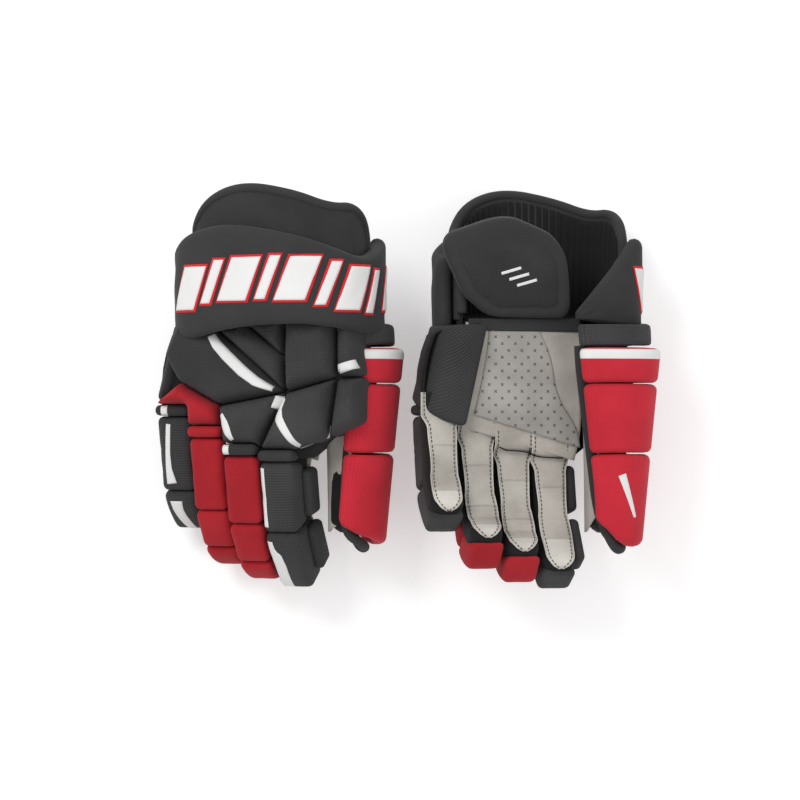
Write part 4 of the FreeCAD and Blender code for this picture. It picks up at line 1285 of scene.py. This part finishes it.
DOWN = (0.0, 0.0, -1.0)
STRIPES = {
    "outer_long": ([(-40, 53), (-32, 42), (-4, 16.5), (15, 7.5)], (5, 8.5, 9, 4)),
    "index_main": ([(24, 0.5), (19, -12), (32, -33), (37, -40)], (7, 8.5, 6, 4.5)),
    "middle_main": ([(-31, -14), (-26, -23), (-21, -35)], (6, 8, 4)),
    "centre_side": ([(72, 24), (87, 28.5)], (7.5, 7.5)),
}
for name, (path, widths) in STRIPES.items():
    above = [(x, y, 60.0) for x, y in path]
    shape = ribbon(skin(f"{name}_padding"), above, widths, DOWN)
    lay(f"{name}_stripe", shape, white_trim, "hand")
for finger, x, width in (("pinky", -88, 6), ("middle", -27.6, 5.6)):
    knuckle = FINGERS[finger]["knuckle"]
    path = [(x, knuckle + 0.9, 60), (x, knuckle + 8.5, 60)]
    shape = ribbon(skin(f"{finger}_knuckle_roll"), path, (width, width), DOWN)
    lay(f"{finger}_knuckle_band", shape, white_trim, "hand")

# %% Stripes down the fingers
FINGER_STRIPES = {
    ("pinky", 0): ([(-4, -1), (-7, -36), (-5, -53)], (4, 4.5, 9)),
    ("pinky", 1): ([(-4, -3), (-4, -14), (3, -36)], (11, 9, 8)),
    ("index", 0): ([(-12.5, 0), (-12.5, -51)], (4, 4.5)),
    ("index", 1): ([(-11.5, -2), (-11, -12), (-7, -19), (-6.5, -53)], (4.5, 6, 10, 10)),
}
for (finger, number), (path, widths) in FINGER_STRIPES.items():
    chain = CHAINS[finger][number]
    segment = SEGMENT_NAMES[len(FINGERS[finger]["lengths"])][number]
    above = carry(chain, np.array([(x, y, 30.0) for x, y in path]))
    shape = ribbon(skin(f"{finger}_{segment}_padding"), above, widths, -chain[:3, 2])
    lay(f"{finger}_{segment}_stripe", shape, white_trim, f"{finger}_{segment}")


# %% Band round the thumb, and bars round the cuff
def wound(tree, curve, low, high, rows=9):
    """A band laid round a curve, between two places along y."""
    line = spaced(softened(curve, 2, closed=False), 1.6)
    heart = (line.min(0) + line.max(0)) / 2
    laid = np.zeros((rows, len(line), 3))
    for row, along in enumerate(np.linspace(low, high, rows)):
        for column, point in enumerate(line):
            inward = Vector(heart - point).normalized()
            start = Vector(point + (0, along, 0)) - 30 * inward
            place, normal, _, _ = tree.ray_cast(start, inward)
            laid[row, column] = start + 40 * inward if place is None else place + LIFT * normal
    if (grid_normals(laid) * (laid - laid.mean((0, 1)))).sum() < 0:
        laid = laid[:, ::-1]
    return slab(laid, TAPE)


base = thumb_curve(0)
lay("thumb_white_band", wound(skin("thumb_roll_padding"), base, 33.0, 41.0), white_trim, "hand")

arch_line = spaced(softened(cuff_near * (1, 0, 1), 2, closed=False), 1.0)
cuff_skin = skin("cuff_band_padding")


CUFF_HEART = np.array([9.0, 90.0, 20.0])    # a place inside the cuff, to tell its outside by
SLANT = 14                                  # mm that a bar leans over its height


def cuff_bar(start, wide, middle, tall, lift, thick):
    """A slanted bar round the cuff's outer face, start mm along its arch."""
    rows, columns = max(8, int(tall / 1.8)), max(4, int(wide / 1.8))
    grid = np.zeros((rows, columns, 3))
    for row, share in enumerate(np.linspace(-0.5, 0.5, rows)):
        for column, step in enumerate(np.linspace(0, wide, columns)):
            place = min(len(arch_line) - 1.001, max(0, start + step + SLANT * share))
            point = arch_line[int(place)] * (1 - place % 1) + arch_line[int(place) + 1] * (place % 1)
            grid[row, column] = point + (0, middle + tall * share, 0)
    laid = dropped(cuff_skin, grid, None, lift)
    if (grid_normals(laid) * (laid - CUFF_HEART)).sum() < 0:
        laid = laid[:, ::-1]
    return slab(laid, thick)


# Each bar's start along the arch, its width, and its middle along y.
BARS = ((50, 24, 92), (82, 9, 97), (99, 26, 99), (133, 9, 100), (150, 26, 99), (184, 9, 95), (201, 22, 91),
        (231, 9, 89), (262, 22, 92))
white_bars, red_bars = [], []
for start, wide, middle in BARS:
    white_bars.append(cuff_bar(start, wide, middle, 36, 1.3, 1.0))
    red_bars.append(cuff_bar(start - 1.8, wide + 3.6, middle, 40, 0.6, 0.8))
lay("cuff_white_bars", join(white_bars), white_trim, "cuff")
lay("cuff_red_edges", join(red_bars), red_trim, "cuff")

# %% Small marks, and the strap below the flap
up_flap = FLAP_PLACE[:3, 2]
marks = []
for across, along, long in ((-34, 44, 17), (-27, 39, 17), (-20, 34, 17)):
    ends = carry(FLAP_PLACE, np.array([(across, along, 14.0), (across + long, along + 5, 14.0)]))
    marks.append(ribbon(skin("flap_panel"), ends, (2.4, 2.4), -up_flap))
lay("flap_marks", join(marks), white_trim, "flap")
ends = np.array([(63, -64, -60), (76, -100, -60)])
shape = ribbon(skin("thumb_long_padding"), ends, (7, 2.5), (0.0, 0.0, 1.0))
lay("thumb_mark", shape, white_trim, "thumb")
strap = ruled([(-58, 57, -2.8), (-58, 67, -2.8)], [(40, 56, -2.8), (40, 68, -2.8)], 8, 50)
pieces = lay("flap_strap", slab(strap[:, ::-1], 1.2), smooth_knit, "hand")
declare_sheets(pieces, strap, ["palm_leather"])
print("trim laid")

# %% [markdown]
# ## Floor, light and camera
# The pair lies on a pale floor that reads as white in the background but keeps a soft shadow. The camera
# looks straight down from far away, as in a catalogue picture.


# %% Floor
def pale_floor():
    """A matte floor that looks a little brighter to the camera than the light on it."""
    made = bpy.data.materials.new("pale_floor")
    made.use_nodes = True
    tree = made.node_tree
    tree.nodes.clear()
    out = node(tree, "ShaderNodeOutputMaterial")
    matte = node(tree, "ShaderNodeBsdfDiffuse", {"Color": (0.92, 0.92, 0.92, 1)})
    glow = node(tree, "ShaderNodeEmission", {"Color": (1, 1, 1, 1)})
    path = node(tree, "ShaderNodeLightPath")
    seen = calc(tree, "MAXIMUM", path.outputs["Is Camera Ray"],
                calc(tree, "MAXIMUM", path.outputs["Is Glossy Ray"], path.outputs["Is Transmission Ray"]))
    tree.links.new(calc(tree, "MULTIPLY", seen, 0.34), glow.inputs["Strength"])
    both = node(tree, "ShaderNodeAddShader", {0: matte.outputs[0], 1: glow.outputs[0]})
    tree.links.new(both.outputs[0], out.inputs["Surface"])
    return made


bpy.ops.mesh.primitive_plane_add(size=6)
floor = bpy.context.object
floor.name = "floor"
floor.data.materials.append(pale_floor())

world = bpy.data.worlds.new("studio")
bpy.context.scene.world = world
world.use_nodes = True
background = world.node_tree.nodes["Background"]
background.inputs["Color"].default_value = (1, 1, 1, 1)
background.inputs["Strength"].default_value = 0.62


def soft_light(name, place, size, power):
    """A round lamp that faces the middle."""
    lamp = bpy.data.lights.new(name, "AREA")
    lamp.shape, lamp.size, lamp.energy = "DISK", size, power
    holder = bpy.data.objects.new(name, lamp)
    holder.location = place
    holder.rotation_euler = (-Vector(place)).to_track_quat("-Z", "Y").to_euler()
    bpy.context.scene.collection.objects.link(holder)


soft_light("key", (-0.9, 1.0, 1.6), 0.9, 16.0)
soft_light("fill", (1.1, -0.3, 1.5), 1.2, 5.0)

# %% Camera
lens = bpy.data.cameras.new("camera")
lens.sensor_width, lens.lens = 36, 131
camera = bpy.data.objects.new("camera", lens)
camera.location = (-0.003, -0.0086, 2.55)
bpy.context.scene.collection.objects.link(camera)
bpy.context.scene.camera = camera
bpy.context.scene.view_settings.view_transform = "Standard"

# %% Finish
for name in frame["nodes"]:
    holder = bpy.data.objects.get(name)
    if holder is not None and holder.type == "MESH":
        for number in range(len(holder.material_slots)):
            holder.material_slots[number].material = guard_plastic
